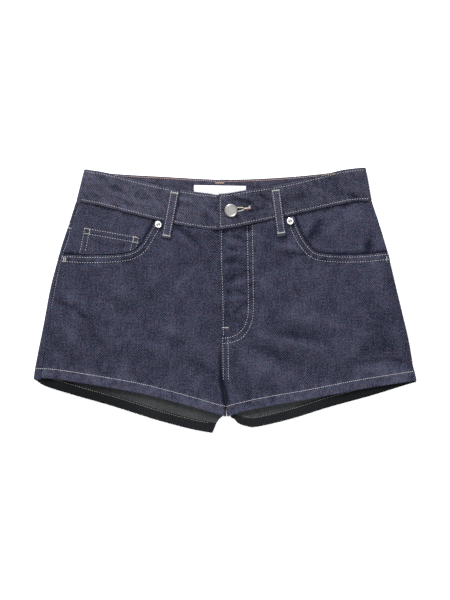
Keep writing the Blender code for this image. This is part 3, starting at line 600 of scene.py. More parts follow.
def wall(name, face, back, materials, weave, wear_and_shade, inside=None, wear_and_shade_behind=None):
    """A closed wall between two grids. inside marks where the back shows the cloth's face.

    It stores each point's place across and along the grain, and how worn it is with the light and
    shade painted on it, as "weave".
    """
    rows, columns = face.shape[:2]
    count = rows * columns
    index = np.arange(count).reshape(rows, columns)
    a, b, c, d = [part.ravel() for part in (index[:-1, :-1], index[:-1, 1:], index[1:, 1:],
                                            index[1:, :-1])]
    border = np.concatenate([index[0], index[1:, -1], index[-1, -2::-1], index[-2:0:-1, 0]])
    after = np.roll(border, -1)
    quads = np.concatenate([points(a, b, c, d), points(a, d, c, b) + count,
                            points(border, border + count, after + count, after)])
    indices = np.zeros(len(quads), dtype=int)
    if len(materials) > 1:
        indices[len(a):2 * len(a)] = 1 if inside is None else \
            1 + ((inside[:-1, :-1] > 0.5) & (inside[1:, 1:] > 0.5)).ravel()
    verts = np.concatenate([face.reshape(-1, 3), back.reshape(-1, 3)])
    piece = new_object(name, verts, quads.tolist(), materials, indices)
    behind = wear_and_shade if wear_and_shade_behind is None else wear_and_shade_behind
    values = np.stack([points(weave[..., 0], weave[..., 1], part) for part in (wear_and_shade, behind)])
    stored = piece.data.attributes.new("weave", "FLOAT_VECTOR", "POINT")
    stored.data.foreach_set("vector", values.astype(np.float32).ravel())
    return piece


def rounded(distance, cloth):
    """How much of its thickness a wall has near a rounded edge."""
    inside = np.clip(distance / (0.5 * cloth), 0.0, 1.0)
    return np.maximum(0.12, np.sqrt(1.0 - (1.0 - inside) ** 2))


def layers(x, y, low, cloth, edge):
    """Upper and lower points of a wall of a given thickness, rounded near its edges."""
    middle = low + 0.5 * cloth
    half = 0.5 * cloth * rounded(edge, cloth)
    return points(x, y, middle + half), points(x, y, middle - half)


def add_curl(face, back, edge, level, cloth, way, reach, turn, lift=-1.0, lapped=False):
    """Adds the columns of an edge that curls by a turn, going along X by a way of 1 or -1.

    The strip's outer side starts at a level and goes down, or up where lift is 1. A lapped one
    also sinks under the other front.
    """
    x, y = face[:, -1:, 0], face[:, -1:, 1]
    level, cloth, reach, turn = [value[:, None] for value in (level, cloth, reach, turn)]
    share = CURL_SHARES - 0.5 * GAP / reach * (CURL_SHARES == 1.0)
    out, rise, angle = curl(reach, turn, share)
    room = np.minimum(edge[:, -1:], (1.0 - share) * reach)
    middle_x = x + way * (out - 0.5 * cloth * np.sin(angle))
    middle_z = level + lift * (rise + 0.5 * cloth * np.cos(angle))
    if lapped:
        middle_z = middle_z - lap_dip(x + way * out, y) + lap_dip(x, y)
    half = 0.5 * cloth * rounded(room, cloth)
    aside, above = way * half * np.sin(angle), -lift * half * np.cos(angle)
    return (beside(face, points(middle_x + aside, y, middle_z + above)),
            beside(back, points(middle_x - aside, y, middle_z - above)), beside(edge, room))


def add_side_curl(face, back, edge, cloth, level):
    """Adds a quarter turn down the left side's fold, after its last column."""
    y = face[:, -1, 1]
    return add_curl(face, back, edge, back[:, -1, 2] + cloth, cloth, 1.0,
                    0.5 * QUARTER * (level - back_level(y)), np.full(len(y), QUARTER))


# ---- Front panels ----
def front_panel(name, mirror, pocket, hem, materials):
    is_left = mirror > 0

    def edge_x(y):
        if is_left:
            return lap_edge(y) + 0.2 * legs_apart(y)
        under = soft_step(y, *LAP_START)
        return lap_edge(y) + LAP * under - 0.35 * (1.0 - under)

    def inner_x(y):
        return edge_x(y) + mirror * curl(fold_reach(y), QUARTER * legs_apart(y), 1.0)[0]

    outer = edge_by_height(front_side_x(mirror), pocket[0][1] - 0.5 * GAP, hem[0][1])
    inner_start = min(band_seam(edge_x(90.0)), band_seam(inner_x(90.0))) - GAP
    inner = edge_by_height(inner_x, inner_start, hem[-1][1])
    opening = smooth([outer[0]] + pocket[1:])
    opening[:, 1] -= 0.5 * GAP * np.linspace(0.0, 1.0, len(opening))
    seam = seam_line(pocket[-1][0], inner[0][0], lambda x: band_seam(x) - GAP, 16)[1:]
    seam[-1] = inner[0]
    top = np.vstack([opening, seam])
    bottom = smooth([outer[-1]] + hem[1:-1] + [inner[-1]])
    across = length(top)
    corner = length(opening) / across
    u = rungs(across, int(across / STEP), [0.0] if is_left else EDGE_RINGS) / across
    hem_tail = list(np.linspace(HEM_DEPTH + 3.0, 1.6, 10)) + END_RINGS
    x, y, down, up = panel_grid(top, bottom, outer, inner, u, int(FRONT_TALL / STEP), hem_tail)
    in_hem = 1.0 - soft_step(up, HEM_DEPTH - 1.5, HEM_DEPTH + 2.5)
    cloth = (DENIM + TURNED * in_hem
             + EDGE_FOLD * (1.0 - soft_step(down, EDGE_DEPTH - 2.0, EDGE_DEPTH + 2.0))
             * (1.0 - soft_step(u, corner - 0.01, corner + 0.03)))
    roping = 0.34 * np.sin(2.0 * math.pi * (u * length(bottom) + 0.8 * up) / 9.3
                           + 3.0 * swell(x, y, 30.0, 2.0))
    low = front_floor(x, y) + roping * in_hem * soft_step(up, 0.0, 4.0) * side_fade(x, y)
    edge = np.minimum(down, up)
    if not is_left:
        low = low - lap_dip(x, y)
        edge = np.minimum(edge, u * across)
    face, back = layers(x, y, low, cloth, edge)

    def fly_share(x, y):
        return is_left * soft_step(fly_width(y) - x, -5.0, -1.0) * soft_step(y, -52.0, -46.0)

    def sewn(x, y):
        lines = [row_beside(hem, -HEM_ROW)] + [row_beside(pocket, row) for row in OPENING_ROWS]
        sunk = sewing_relief(x, y, lines) * side_fade(x, y) - 0.4 * bell(band_seam(x) - y, 1.6)
        if is_left:
            lap_way = np.clip(x - lap_edge(y), 0.0, 20.0)
            sunk = (sunk + sewing_relief(x, y, [smooth(FLY_INNER), smooth(FLY_OUTER)], 3.0)
                    + 0.3 * fly_share(x, y) + 1.6 * ridges(x, y, FLY_CREASES)
                    + puckers(lap_way - 3.4, y, 70.0, 0.7) * soft_step(y, -104.0, -90.0))
        else:
            sunk = sunk * soft_step(-x, 3.0, 14.0)
        by_lap = bell(x - lap_edge(y) + 0.6, 2.0) * soft_step(-y, 50.0, 80.0)
        return np.maximum(sunk - 0.7 * by_lap, -0.9)

    sunk = sewn(x, y)
    face[..., 2] += sunk
    back[..., 2] += 0.5 * np.minimum(sunk, 0.0)

    last_y = face[:, -1, 1]
    face, back, edge = add_curl(face, back, edge, back[:, -1, 2] + cloth[:, -1], cloth[:, -1],
                                -mirror, fold_reach(last_y), QUARTER * legs_apart(last_y),
                                lapped=not is_left)
    if is_left:
        face, back, edge = face[:, ::-1], back[:, ::-1], edge[:, ::-1]
        face, back, edge = add_side_curl(face, back, edge, cloth[:, 0], face[:, -1, 2])
    x, y, _ = np.moveaxis(face, -1, 0)
    in_hem = 1.0 - soft_step(near(x, y, smooth(hem))[0], HEM_DEPTH - 3.0, HEM_DEPTH + 1.0)
    # Painted light and shade in the colour: raised folds and puckers lighter, sunken ones darker;
    # painted shadow beside the lap's edge, under the waistband, along the side folds and in the
    # crotch. The edges and hems are worn lighter, and the fly is a little darker.
    by_lap = bell(x - lap_edge(y) + 0.8, 1.9) * soft_step(-y, 56.0, 88.0)
    shadow_below_band = edge_falloff(np.maximum(0.0, band_seam(x) - y), 1.6)
    wear_and_shade = (edge_falloff(edge) * (1.0 - by_lap) + in_hem * (1.3 + 2.6 * swell(x, y, 8.0, 91.0))
            + RELIEF_PAINTED_SHADE * (front_relief(x, y) + sewn(x, y)) - 4.0 * by_lap - 1.5 * shadow_below_band
            - 0.8 * (1.0 - side_fade(x, y)) - 8.0 * crotch_painted_shadow(x, y) - 1.1 * fly_share(x, y))
    return wall(name, face, back, materials, grain_of(x, y, LEG_GRAIN * mirror), wear_and_shade)


# ---- Back panels and yokes, which lie face down ----
def back_relief(x, y):
    """The backs lie on the floor and on their pockets, so their folds only rise."""
    rise = ridges(x, y, BACK_FOLDS) + 0.3 * np.maximum(0.0, swell(x, y, 30.0, 9.4))
    return rise * soft_step(side_room(x, y), 6.0, 20.0)


def back_wear_and_shade(x, y, edge):
    """How worn the outside of a back piece is, with painted shade: darker in its folds, lighter at
    its worn edges.
    """
    return (edge_falloff(edge) - 2.4 * back_relief(x, y) + 0.8 * swell(x, y, 21.0, 7.7)
            + 0.8 * swell(x, y, 9.0, 12.3))


def add_side(face, back, edge, low, cloth, way):
    """Puts the columns round the side fold before a back piece's first column."""
    x, y = face[:, :1, 0], face[:, :1, 1]
    low = low[:, None]
    radius = 0.5 * (side_top(y) - low)
    inner = np.maximum(0.2, radius - cloth)
    middle = 0.5 * (radius + inner)
    if way > 0:
        turns = QUARTER * np.array([0.14, 0.28, 0.42, 0.56, 0.7, 0.82, 0.91, 0.97, 1.0])
        angle = turns - 0.5 * GAP / radius * (turns == QUARTER)
        room = np.minimum(edge[:, :1], (QUARTER - angle) * radius)
    else:
        angle = math.pi * np.arange(1, 13) / 12
        room = np.repeat(edge[:, :1], 12, axis=1)
    half = 0.5 * (radius - inner) * rounded(room, cloth)
    around = [points(x + way * arm * np.sin(angle), y, low + radius - arm * np.cos(angle))
              for arm in (middle + half, middle - half)]
    if way < 0:
        span = right_seam_x(y) - 0.5 * GAP - x
        share = np.array([0.35, 0.6, 0.8, 0.92, 1.0])
        on_top = np.minimum(edge[:, :1], span * (1.0 - share))
        half = 0.5 * (radius - inner) * rounded(on_top, cloth)
        level = low + 1.5 * radius + 0.5 * inner
        around = [beside(part, points(x + span * share, y, level + side * half))
                  for part, side in zip(around, (1.0, -1.0))]
        room = beside(room, on_top)
    return (beside(around[0][:, ::-1], face), beside(around[1][:, ::-1], back),
            beside(room[:, ::-1], edge))


def yoke(name, mirror, materials):
    outer = edge_by_height(back_side_x(mirror), 125.0, yoke_seam(199.0))
    inner = edge_by_height(lambda y: np.full(np.shape(y), 0.5 * GAP * mirror),
                           back_seam(0.0) - GAP, yoke_seam(0.0))
    top = seam_line(outer[0][0], inner[0][0], lambda x: back_seam(x) - GAP)
    bottom = seam_line(outer[-1][0], inner[-1][0], yoke_seam)
    outer[0], outer[-1], inner[-1] = top[0], bottom[0], bottom[-1]
    across = length(top)
    u = rungs(across, int(across / STEP_BEHIND), [0.0], END_RINGS) / across
    x, y, down, up = panel_grid(top, bottom, outer, inner, u, 24)
    edge = np.minimum(np.minimum(down, up), (1.0 - u) * across)
    low = np.maximum(back_level(y), SOLE) + back_relief(x, y)
    back, face = layers(x, y, low, DENIM, edge)
    face, back, edge = add_side(face, back, edge, back_level(y[:, 0]), DENIM, mirror)
    x, y, _ = np.moveaxis(face, -1, 0)
    return wall(name, face, back, materials, grain_of(x, y, 90.0 + LEG_GRAIN * mirror),
                back_wear_and_shade(x, y, edge))


def back_panel(name, mirror, hem, inner_table, materials):
    """A back panel, whose hem is turned up on its inner side."""
    leg_inner = reader(inner_table)

    def open_turn(y):
        return QUARTER * legs_apart(y) * (1.0 - 0.75 * soft_step(-y, 141.0, 152.0))

    def inner_x(y):
        edge_x = np.where(y > INNER_SPLIT, back_centre(y), leg_inner(y)) + 0.5 * GAP * mirror
        return edge_x + mirror * curl(fold_reach(y), open_turn(y), 1.0)[0]

    outer = edge_by_height(back_side_x(mirror), yoke_seam(199.0) - GAP, hem[0][1])
    inner = edge_by_height(inner_x, yoke_seam(0.0) - GAP, hem[-1][1], 40)
    top = seam_line(outer[0][0], inner[0][0], lambda x: yoke_seam(x) - GAP)
    outer[0], inner[0] = top[0], top[-1]
    bottom = smooth([outer[-1]] + hem[1:-1] + [inner[-1]])
    across = length(bottom)
    u = rungs(across, int(across / STEP_BEHIND)) / across
    hem_tail = [HEM_DEPTH + d for d in (2.0, 0.7, 0.15, -0.1, -0.5)] \
        + list(np.linspace(HEM_DEPTH - 1.6, 1.6, 7)) + END_RINGS
    x, y, down, up = panel_grid(top, bottom, outer, inner, u, int(BACK_TALL / STEP_BEHIND),
                                hem_tail)
    ragged = 0.35 * swell(u * across, np.full(len(u), 20.0), 5.0, 1.0)
    in_hem = 1.0 - soft_step(up + ragged, HEM_DEPTH - 0.45, HEM_DEPTH + 0.1)
    cloth = DENIM + TURNED * in_hem
    roping = 0.3 * np.sin(2.0 * math.pi * (u * across + 0.8 * up) / 9.7
                          + 3.0 * swell(x, y, 26.0, 6.0))
    lift = 0.5 * (roping + 0.3) * (1.0 - soft_step(up, 9.0, 18.0))
    low = np.maximum(back_level(y), SOLE) + back_relief(x, y)
    edge = np.minimum(down, up)
    back, face = layers(x, y, low, cloth, edge)
    face[..., 2] += lift * 0.6
    back[..., 2] += lift

    last_y, last_cloth = y[:, -1], cloth[:, -1]
    level = face[:, -1, 2] + 0.5 * last_cloth * (rounded(edge[:, -1], last_cloth) - 1.0)
    face, back, edge = add_curl(face, back, edge, level, last_cloth, -mirror,
                                fold_reach(last_y), open_turn(last_y), 1.0)
    face, back, edge = add_side(face, back, edge, back_level(y[:, 0]), cloth[:, :1], mirror)
    around = face.shape[1] - len(u) - len(CURL_SHARES)
    marks = in_hem[:, [0] * around + list(range(len(u))) + [-1] * len(CURL_SHARES)]
    x, y, _ = np.moveaxis(face, -1, 0)
    # Painted shadow on the inside of the leg opening, under the front's hem, darker towards the
    # sides.
    leg_opening_shadow = 4.5 * soft_step(np.abs(x), 90.0, 190.0)
    return wall(name, face, back, materials, grain_of(x, y, LEG_GRAIN * mirror),
                back_wear_and_shade(x, y, edge), marks, edge_falloff(edge) - leg_opening_shadow)


# ---- Waistband ----
def band_relief(x, y):
    """The soft dips of the waistband's front half."""
    return ridges(x, y, BAND_CREASES) + 0.5 * swell(x, y, 26.0, 21.0)


def band_ripples(x, y):
    """Short slanting ripples, which a band gets where its layers were sewn a little askew."""
    return 1.3 * swell(x + 0.9 * y, 0.36 * (y - x), 7.0, 31.0) + 0.6 * swell(x, y, 5.0, 33.0)


def waistband(name, materials):
    """One band all round: from its under end round the right side, behind and over the left."""
    radius = 0.5 * (BAND_FLOOR + BAND - SEAT_LIFT)
    height = rungs(BAND_HEIGHT, 24, EDGE_RINGS, END_RINGS)[:, None]
    level = height / BAND_HEIGHT
    right = (1.0 - level) * RIGHT_SIDE[0][1] + level * BAND_TOP[0][0] + radius
    left = (1.0 - level) * LEFT_SIDE[0][1] + level * BAND_TOP[-1][0] - radius
    end = lap_edge(LAP_TOP)
    room = np.minimum(height, BAND_HEIGHT - height)
    groove = -0.4 * (bell(BAND_HEIGHT - height - BAND_TOP_ROW, 1.3)
                     + bell(height - BAND_SEAM_ROW, 1.3))

    def front_y(x):
        return band_seam(x) + (band_top(x) - band_seam(x)) * level

    x = UNDER_END - np.array([rungs(span, int(BAND_UNDER / STEP), EDGE_RINGS)
                              for span in (UNDER_END - right).ravel()])
    y = front_y(x) - 1.3 * level * soft_step(x, -22.0, -8.0)
    under_room = np.minimum(room, UNDER_END - x)
    relief = band_relief(x, y) * soft_step(x - right, 2.0, 14.0)
    under = layers(x, y, BAND_FLOOR + relief, BAND, under_room)
    under[0][..., 2] += (groove + band_ripples(x, y)) * (1.0 - soft_step(x, -22.0, -10.0)) \
        * soft_step(x - right, 0.0, 8.0)

    turn = np.linspace(0.0, math.pi, 14)[1:-1]
    half = 0.5 * BAND * rounded(room, BAND)
    arms = [radius - 0.5 * BAND + side * half for side in (1.0, -1.0)]
    centre = SEAT_LIFT + radius
    right_turn = [points(right - arm * np.sin(turn), front_y(right), centre + arm * np.cos(turn))
                  for arm in arms]
    left_turn = [points(left + arm * np.sin(turn), front_y(left), centre - arm * np.cos(turn))
                 for arm in arms]

    x = np.linspace(right[:, 0], left[:, 0], int(BAND_BEHIND / STEP_BEHIND), axis=1)
    y = back_seam(x) + (back_top(x) - back_seam(x)) * level
    behind = layers(x, y, SEAT_LIFT, BAND, room)[::-1]
    behind[1][..., 2] += 0.14 * swell(x, y, 9.0, 41.0) \
        * soft_step(np.minimum(x - right, left - x), 2.0, 14.0) \
        - 0.1 * (1.0 - soft_step(BAND_HEIGHT - height, 2.0, 3.4))

    x = left - np.array([rungs(span, int(BAND_OVER / STEP), [0.0], END_RINGS)
                         for span in (left - end).ravel()])
    y = front_y(x)
    over_room = np.minimum(room, x - end)
    relief = band_relief(x, y) * soft_step(left - x, 2.0, 14.0)
    lift = BAND_STEP * soft_step(-x, -52.0, -UNDER_END - 2.0)
    over = layers(x, y, BAND_FLOOR + lift + relief, BAND, over_room)
    over[0][..., 2] += groove + band_ripples(x, y) * soft_step(left - x, 0.0, 8.0) \
        - 0.2 * bell(x - end - 2.6, 1.3)

    face, back = [beside(*parts) for parts in zip(under, right_turn, behind, left_turn, over)]
    round_room = np.repeat(room, 2 * len(turn) + behind[0].shape[1], axis=1)
    edge = beside(under_room, round_room, over_room)
    steps = np.sqrt((np.diff(face[len(face) // 2], axis=0) ** 2).sum(-1))
    way, height = np.broadcast_arrays(np.concatenate([[0.0], np.cumsum(steps)]), height)
    x, y, z = np.moveaxis(face, -1, 0)
    in_front = z > 4.8      # above the middle of the side folds
    # Painted light and shade: on the front half, creases and ripples painted lighter where raised
    # and darker where sunken, painted light towards -X and painted shade towards +X; behind, the
    # ripples are painted only in colour. The edges are worn lighter.
    wear_and_shade = (edge_falloff(edge, 1.6) + 0.9 + 1.2 * swell(way, height, 14.0, 95.0)
            + (RELIEF_PAINTED_SHADE * (band_relief(x, y) + band_ripples(x, y)) + 0.9 * soft_step(-x, 10.0, 60.0)
               - 0.7 * soft_step(x, -10.0, 20.0)) * in_front
            + 1.2 * band_ripples(x, y) * ~in_front)
    return wall(name, face, back, materials, points(height, way), wear_and_shade)


def cut_buttonhole(band):
    """Cuts the keyhole through the overlapping end and keeps the result as the band's mesh."""
    reach, slit = BUTTONHOLE["reach"], BUTTONHOLE["slit"]
    angles = np.radians(np.linspace(30.0, 330.0, 25))
    x = np.append(BUTTONHOLE["eye"] * np.cos(angles), (reach, reach))
    y = np.append(BUTTONHOLE["eye"] * np.sin(angles), (-slit, slit))
    across, up = unit(np.array([reach, BUTTONHOLE["rise"]]))
    x, y = BUTTON_AT[0] + x * across - y * up, BUTTON_AT[1] + x * up + y * across
    verts = np.concatenate([points(x, y, BAND_FLOOR + BAND + height)
                            for height in (0.15, BAND_STEP + 2.0)])
    count = len(x)
    faces = [tuple(range(count)), tuple(range(2 * count - 1, count - 1, -1))]
    faces += [(k, (k + 1) % count, count + (k + 1) % count, count + k) for k in range(count)]
    cutter = new_object("buttonhole_cutter", verts, faces, [band.data.materials[0]])
    cut = band.modifiers.new("buttonhole", "BOOLEAN")
    cut.operation = "DIFFERENCE"
    cut.object = cutter
    bpy.context.view_layer.update()
    evaluated = band.evaluated_get(bpy.context.evaluated_depsgraph_get())
    made = bpy.data.meshes.new_from_object(evaluated)
    tree = KDTree(len(band.data.vertices))
    for vertex in band.data.vertices:
        tree.insert(vertex.co, vertex.index)
    tree.balance()
    stored = band.data.attributes["weave"].data
    for vertex, value in zip(made.vertices, made.attributes["weave"].data):
        value.vector = stored[tree.find(vertex.co)[1]].vector
    band.modifiers.remove(cut)
    band.data = made
    bpy.data.objects.remove(cutter, do_unlink=True)


# ---- Pockets, fly and small pieces ----
def flat_grid(corners, width, height, columns, rows):
    """A grid between four corners: x, y, the shares across and down, and the room to the edge."""
    u, v = np.meshgrid(rungs(width, columns, EDGE_RINGS, END_RINGS) / width,
                       rungs(height, rows, EDGE_RINGS, END_RINGS) / height)
    x, y = [(1.0 - v) * ((1.0 - u) * a + u * b) + v * ((1.0 - u) * c + u * d)
            for a, b, c, d in zip(*corners)]
    edge = np.minimum(np.minimum(u, 1.0 - u) * width, np.minimum(v, 1.0 - v) * height)
    return x, y, u, v, edge


def flat_piece(name, corners, low, cloth, materials, step, shape=None, grain=0.0, relief=None):
    """A flat piece between four corners. shape moves its points along Y; low is its underside."""
    tl, tr, bl, br = corners
    width = max(math.dist(tl, tr), math.dist(bl, br))
    height = max(math.dist(tl, bl), math.dist(tr, br))
    x, y, u, v, edge = flat_grid(corners, width, height, int(width / step), int(height / step))
    if shape:
        y = shape(x, y, u, v)
    face, back = layers(x, y, low(x, y) if callable(low) else low, cloth, edge)
    if relief:
        added = relief(x, y, edge)
        face[..., 2] += added
        back[..., 2] += np.minimum(0.0, added)
    return wall(name, face, back, materials, grain_of(x, y, grain), edge_falloff(edge))


def facing_level(x, y, mirror):
    """Underside of a pocket facing."""
    rise = 1.0 - soft_step(np.abs(x - front_side_x(mirror)(y)), 2.0, 14.0)
    return FACING_FLOOR + (side_top(y) - DENIM - FACING_FLOOR) * rise \
        + 0.7 * front_relief(x, y) * (1.0 - rise)


def pocket_facing(name, mirror, pocket, materials):
    is_left = mirror > 0
    side_x = front_side_x(mirror)
    outer = edge_by_height(side_x, band_seam(side_x(124.0)) - GAP, pocket[0][1] + 0.5 * GAP)
    top = seam_line(outer[0][0], 74.0 * mirror, lambda x: band_seam(x) - GAP, 16)
    top[0] = outer[0]
    inset = np.array([8.0, 16.0, 26.0, 38.0])
    x = outer[-1][0] - mirror * inset
    drop = (FACING_DROP + GAP) * soft_step(inset, 15.0, 37.0)
    bottom = smooth(np.vstack([outer[-1:], points(x, reader(pocket)(x) + GAP - drop),
                               np.array(FACING_EDGE) * (mirror, 1.0)]))
    inner = np.array([top[-1], bottom[-1]])
    across = length(top)
    head = [0.0] if is_left else EDGE_RINGS
    u = rungs(across, int(across / STEP), head, END_RINGS) / across
    x, y, down, up = panel_grid(top, bottom, outer, inner, u, int(FACING_TALL / STEP))
    edge = np.minimum(np.minimum(down, up), (1.0 - u) * across)
    if not is_left:
        edge = np.minimum(edge, u * across)
    face, back = layers(x, y, facing_level(x, y, mirror), DENIM, edge)
    if is_left:
        face, back, edge = face[:, ::-1], back[:, ::-1], edge[:, ::-1]
        face, back, edge = add_side_curl(face, back, edge, np.full(len(face), DENIM),
                                         back[:, -1, 2] + DENIM)
    x, y, _ = np.moveaxis(face, -1, 0)
    # Painted shadow inside the pocket opening's edge and under the waistband, the folds' painted
    # light and shade, and the listed patches of painted shade; the edges are worn lighter.
    shadow_below_band = edge_falloff(np.maximum(0.0, band_seam(x) - y), 1.8)
    wear_and_shade = (edge_falloff(edge) - 5.5 * bell(near(x, y, smooth(pocket))[0], 3.0) - 1.5 * shadow_below_band
            + 0.6 + RELIEF_PAINTED_SHADE * front_relief(x, y) + ridges(x, y, POCKET_PAINTED_SHADE))
    return wall(name, face, back, materials, grain_of(x, y, -LEG_GRAIN * mirror), wear_and_shade)


def coin_relief(x, y, edge):
    away = coin_top(x) - y
    groove = -0.25 * sum(bell(away - row, 1.2) for row in COIN_ROWS)
    sides = puckers(edge - 1.8, y, 44.0, 0.5, 4.0) * soft_step(away, 8.0, 12.0)
    folded = 0.35 * (1.0 - soft_step(away, 8.0, 11.0)) * soft_step(edge, 0.0, 1.0)
    return groove + sides + folded + 0.25 * swell(x, y, 5.0, 51.0) + ridges(x, y, COIN_CREASES)


def coin_pocket(name, materials):
    edge_y = reader(POCKET_RIGHT)

    def shape(x, y, u, v):
        (_, start), (_, end) = COIN_POCKET[:2]
        top = start + (end - start) * u
        return top + (edge_y(x) + 4.0 * GAP - top) * v

    return flat_piece(name, COIN_POCKET, lambda x, y: facing_level(x, y, -1.0) + DENIM + GAP,
                      COIN_CLOTH, materials, 1.3, shape, -LEG_GRAIN, coin_relief)


def pocket_bag(name, mirror, materials):
    return flat_piece(name, np.array(POCKET_BAG) * (mirror, 1.0), BAG_FLOOR, BAG_CLOTH, materials,
                      4.0, lambda x, y, u, v: y + 26.0 * (2.0 * u - 1.0) ** 4 * v)


def pocket_border(mirror, inset):
    """The sides, point and top of a back pocket, at a distance inside its border."""
    tl, tr, bl, br = np.array(BACK_POCKET, dtype=float)
    corners = np.array([tl, bl, 0.5 * (bl + br) - (0.0, BACK_POINT), br, tr])
    inner = []
    for k in range(5):
        into, out = unit(corners[k] - corners[k - 1]), unit(corners[(k + 1) % 5] - corners[k])
        inner.append(corners[k] + inset * (out - into) / (into[0] * out[1] - into[1] * out[0]))
    inner = np.array(inner + inner[:1])
    return [along(inner[k:k + 2], np.linspace(0.0, 1.0, 8)) * (mirror, 1.0) for k in range(5)]


def back_pocket(name, mirror, materials):
    """A patch pocket with a folded, stitched border. It lies face down."""
    x, y, u, v, edge = flat_grid(np.array(BACK_POCKET) * (mirror, 1.0), 124.0, 104.0, 56, 46)
    y = y - BACK_POINT * v * (1.0 - np.abs(2.0 * u - 1.0))
    back, face = layers(x, y, SOLE, DENIM - SOLE, edge)
    face[..., 2] += 0.2 * sum(bell(edge - row, 1.0) for row in POCKET_ROWS) \
        + 0.12 * (1.0 + swell(x, y, 14.0, 61.0)) * soft_step(edge, 8.0, 20.0)
    return wall(name, face, back, materials, grain_of(x, y, LEG_GRAIN * mirror),
                back_wear_and_shade(x, y, edge) + 0.6)


def belt_loop(name, top, bottom, heights, cloth, materials, under=False):
    """A strap with folded edges, following undersides given along its length."""
    span = math.dist(top, bottom)
    way_x, way_y = (np.array(bottom) - top) / span
    way, arm = np.meshgrid(rungs(span, int(span / 1.1), EDGE_RINGS, END_RINGS),
                           rungs(LOOP_WIDTH, 10, EDGE_RINGS, END_RINGS), indexing="ij")
    aside = arm - 0.5 * LOOP_WIDTH
    x = top[0] + way_x * way + way_y * aside
    y = top[1] + way_y * way - way_x * aside
    edge = np.minimum(np.minimum(way, span - way), np.minimum(arm, LOOP_WIDTH - arm))
    face, back = layers(x, y, reader(heights)(way / span), cloth, edge)
    groove = -0.3 * bell(np.abs(aside) - LOOP_ROW, 0.9) + 0.3 * swell(x, y, 4.0, 71.0)
    if under:
        back[..., 2] -= groove
        face, back = back, face
    else:
        face[..., 2] += groove
    # Painted shade along the loop's folded edges, with uneven tone.
    wear_and_shade = 2.0 - 2.6 * edge_falloff(edge, 0.9) + 1.8 * swell(x, y, 5.0, 97.0)
    return wall(name, face, back, materials, points(arm, way), wear_and_shade)


def spun_faces(first, rings, sides):
    """The faces of a turned shape: a point, rings with a number of sides, and another point."""
    faces = []
    for k in range(sides):
        after = (k + 1) % sides
        faces.append((first, first + 1 + after, first + 1 + k))
        for low in range(first + 1, first + 1 + (rings - 1) * sides, sides):
            faces.append((low + k, low + after, low + sides + after, low + sides + k))
        low = first + 1 + (rings - 1) * sides
        faces.append((low + k, low + after, low + sides))
    return faces


def turned(name, profile, at, materials, segments=64):
    """A piece turned about a vertical line from a profile of radius, height and material."""
    angles = 2.0 * math.pi * np.arange(segments) / segments
    rings = [points(at[0] + radius * np.cos(angles), at[1] + radius * np.sin(angles), height)
             for radius, height, _ in profile[1:-1]]
    verts = np.concatenate([[(*at, profile[0][1])], *rings, [(*at, profile[-1][1])]])
    indices = [row[2] for row in profile[1:]] * segments
    piece = new_object(name, verts, spun_faces(0, len(rings), segments), materials, indices)
    piece.data.set_sharp_from_angle(angle=math.radians(50.0))
    return piece


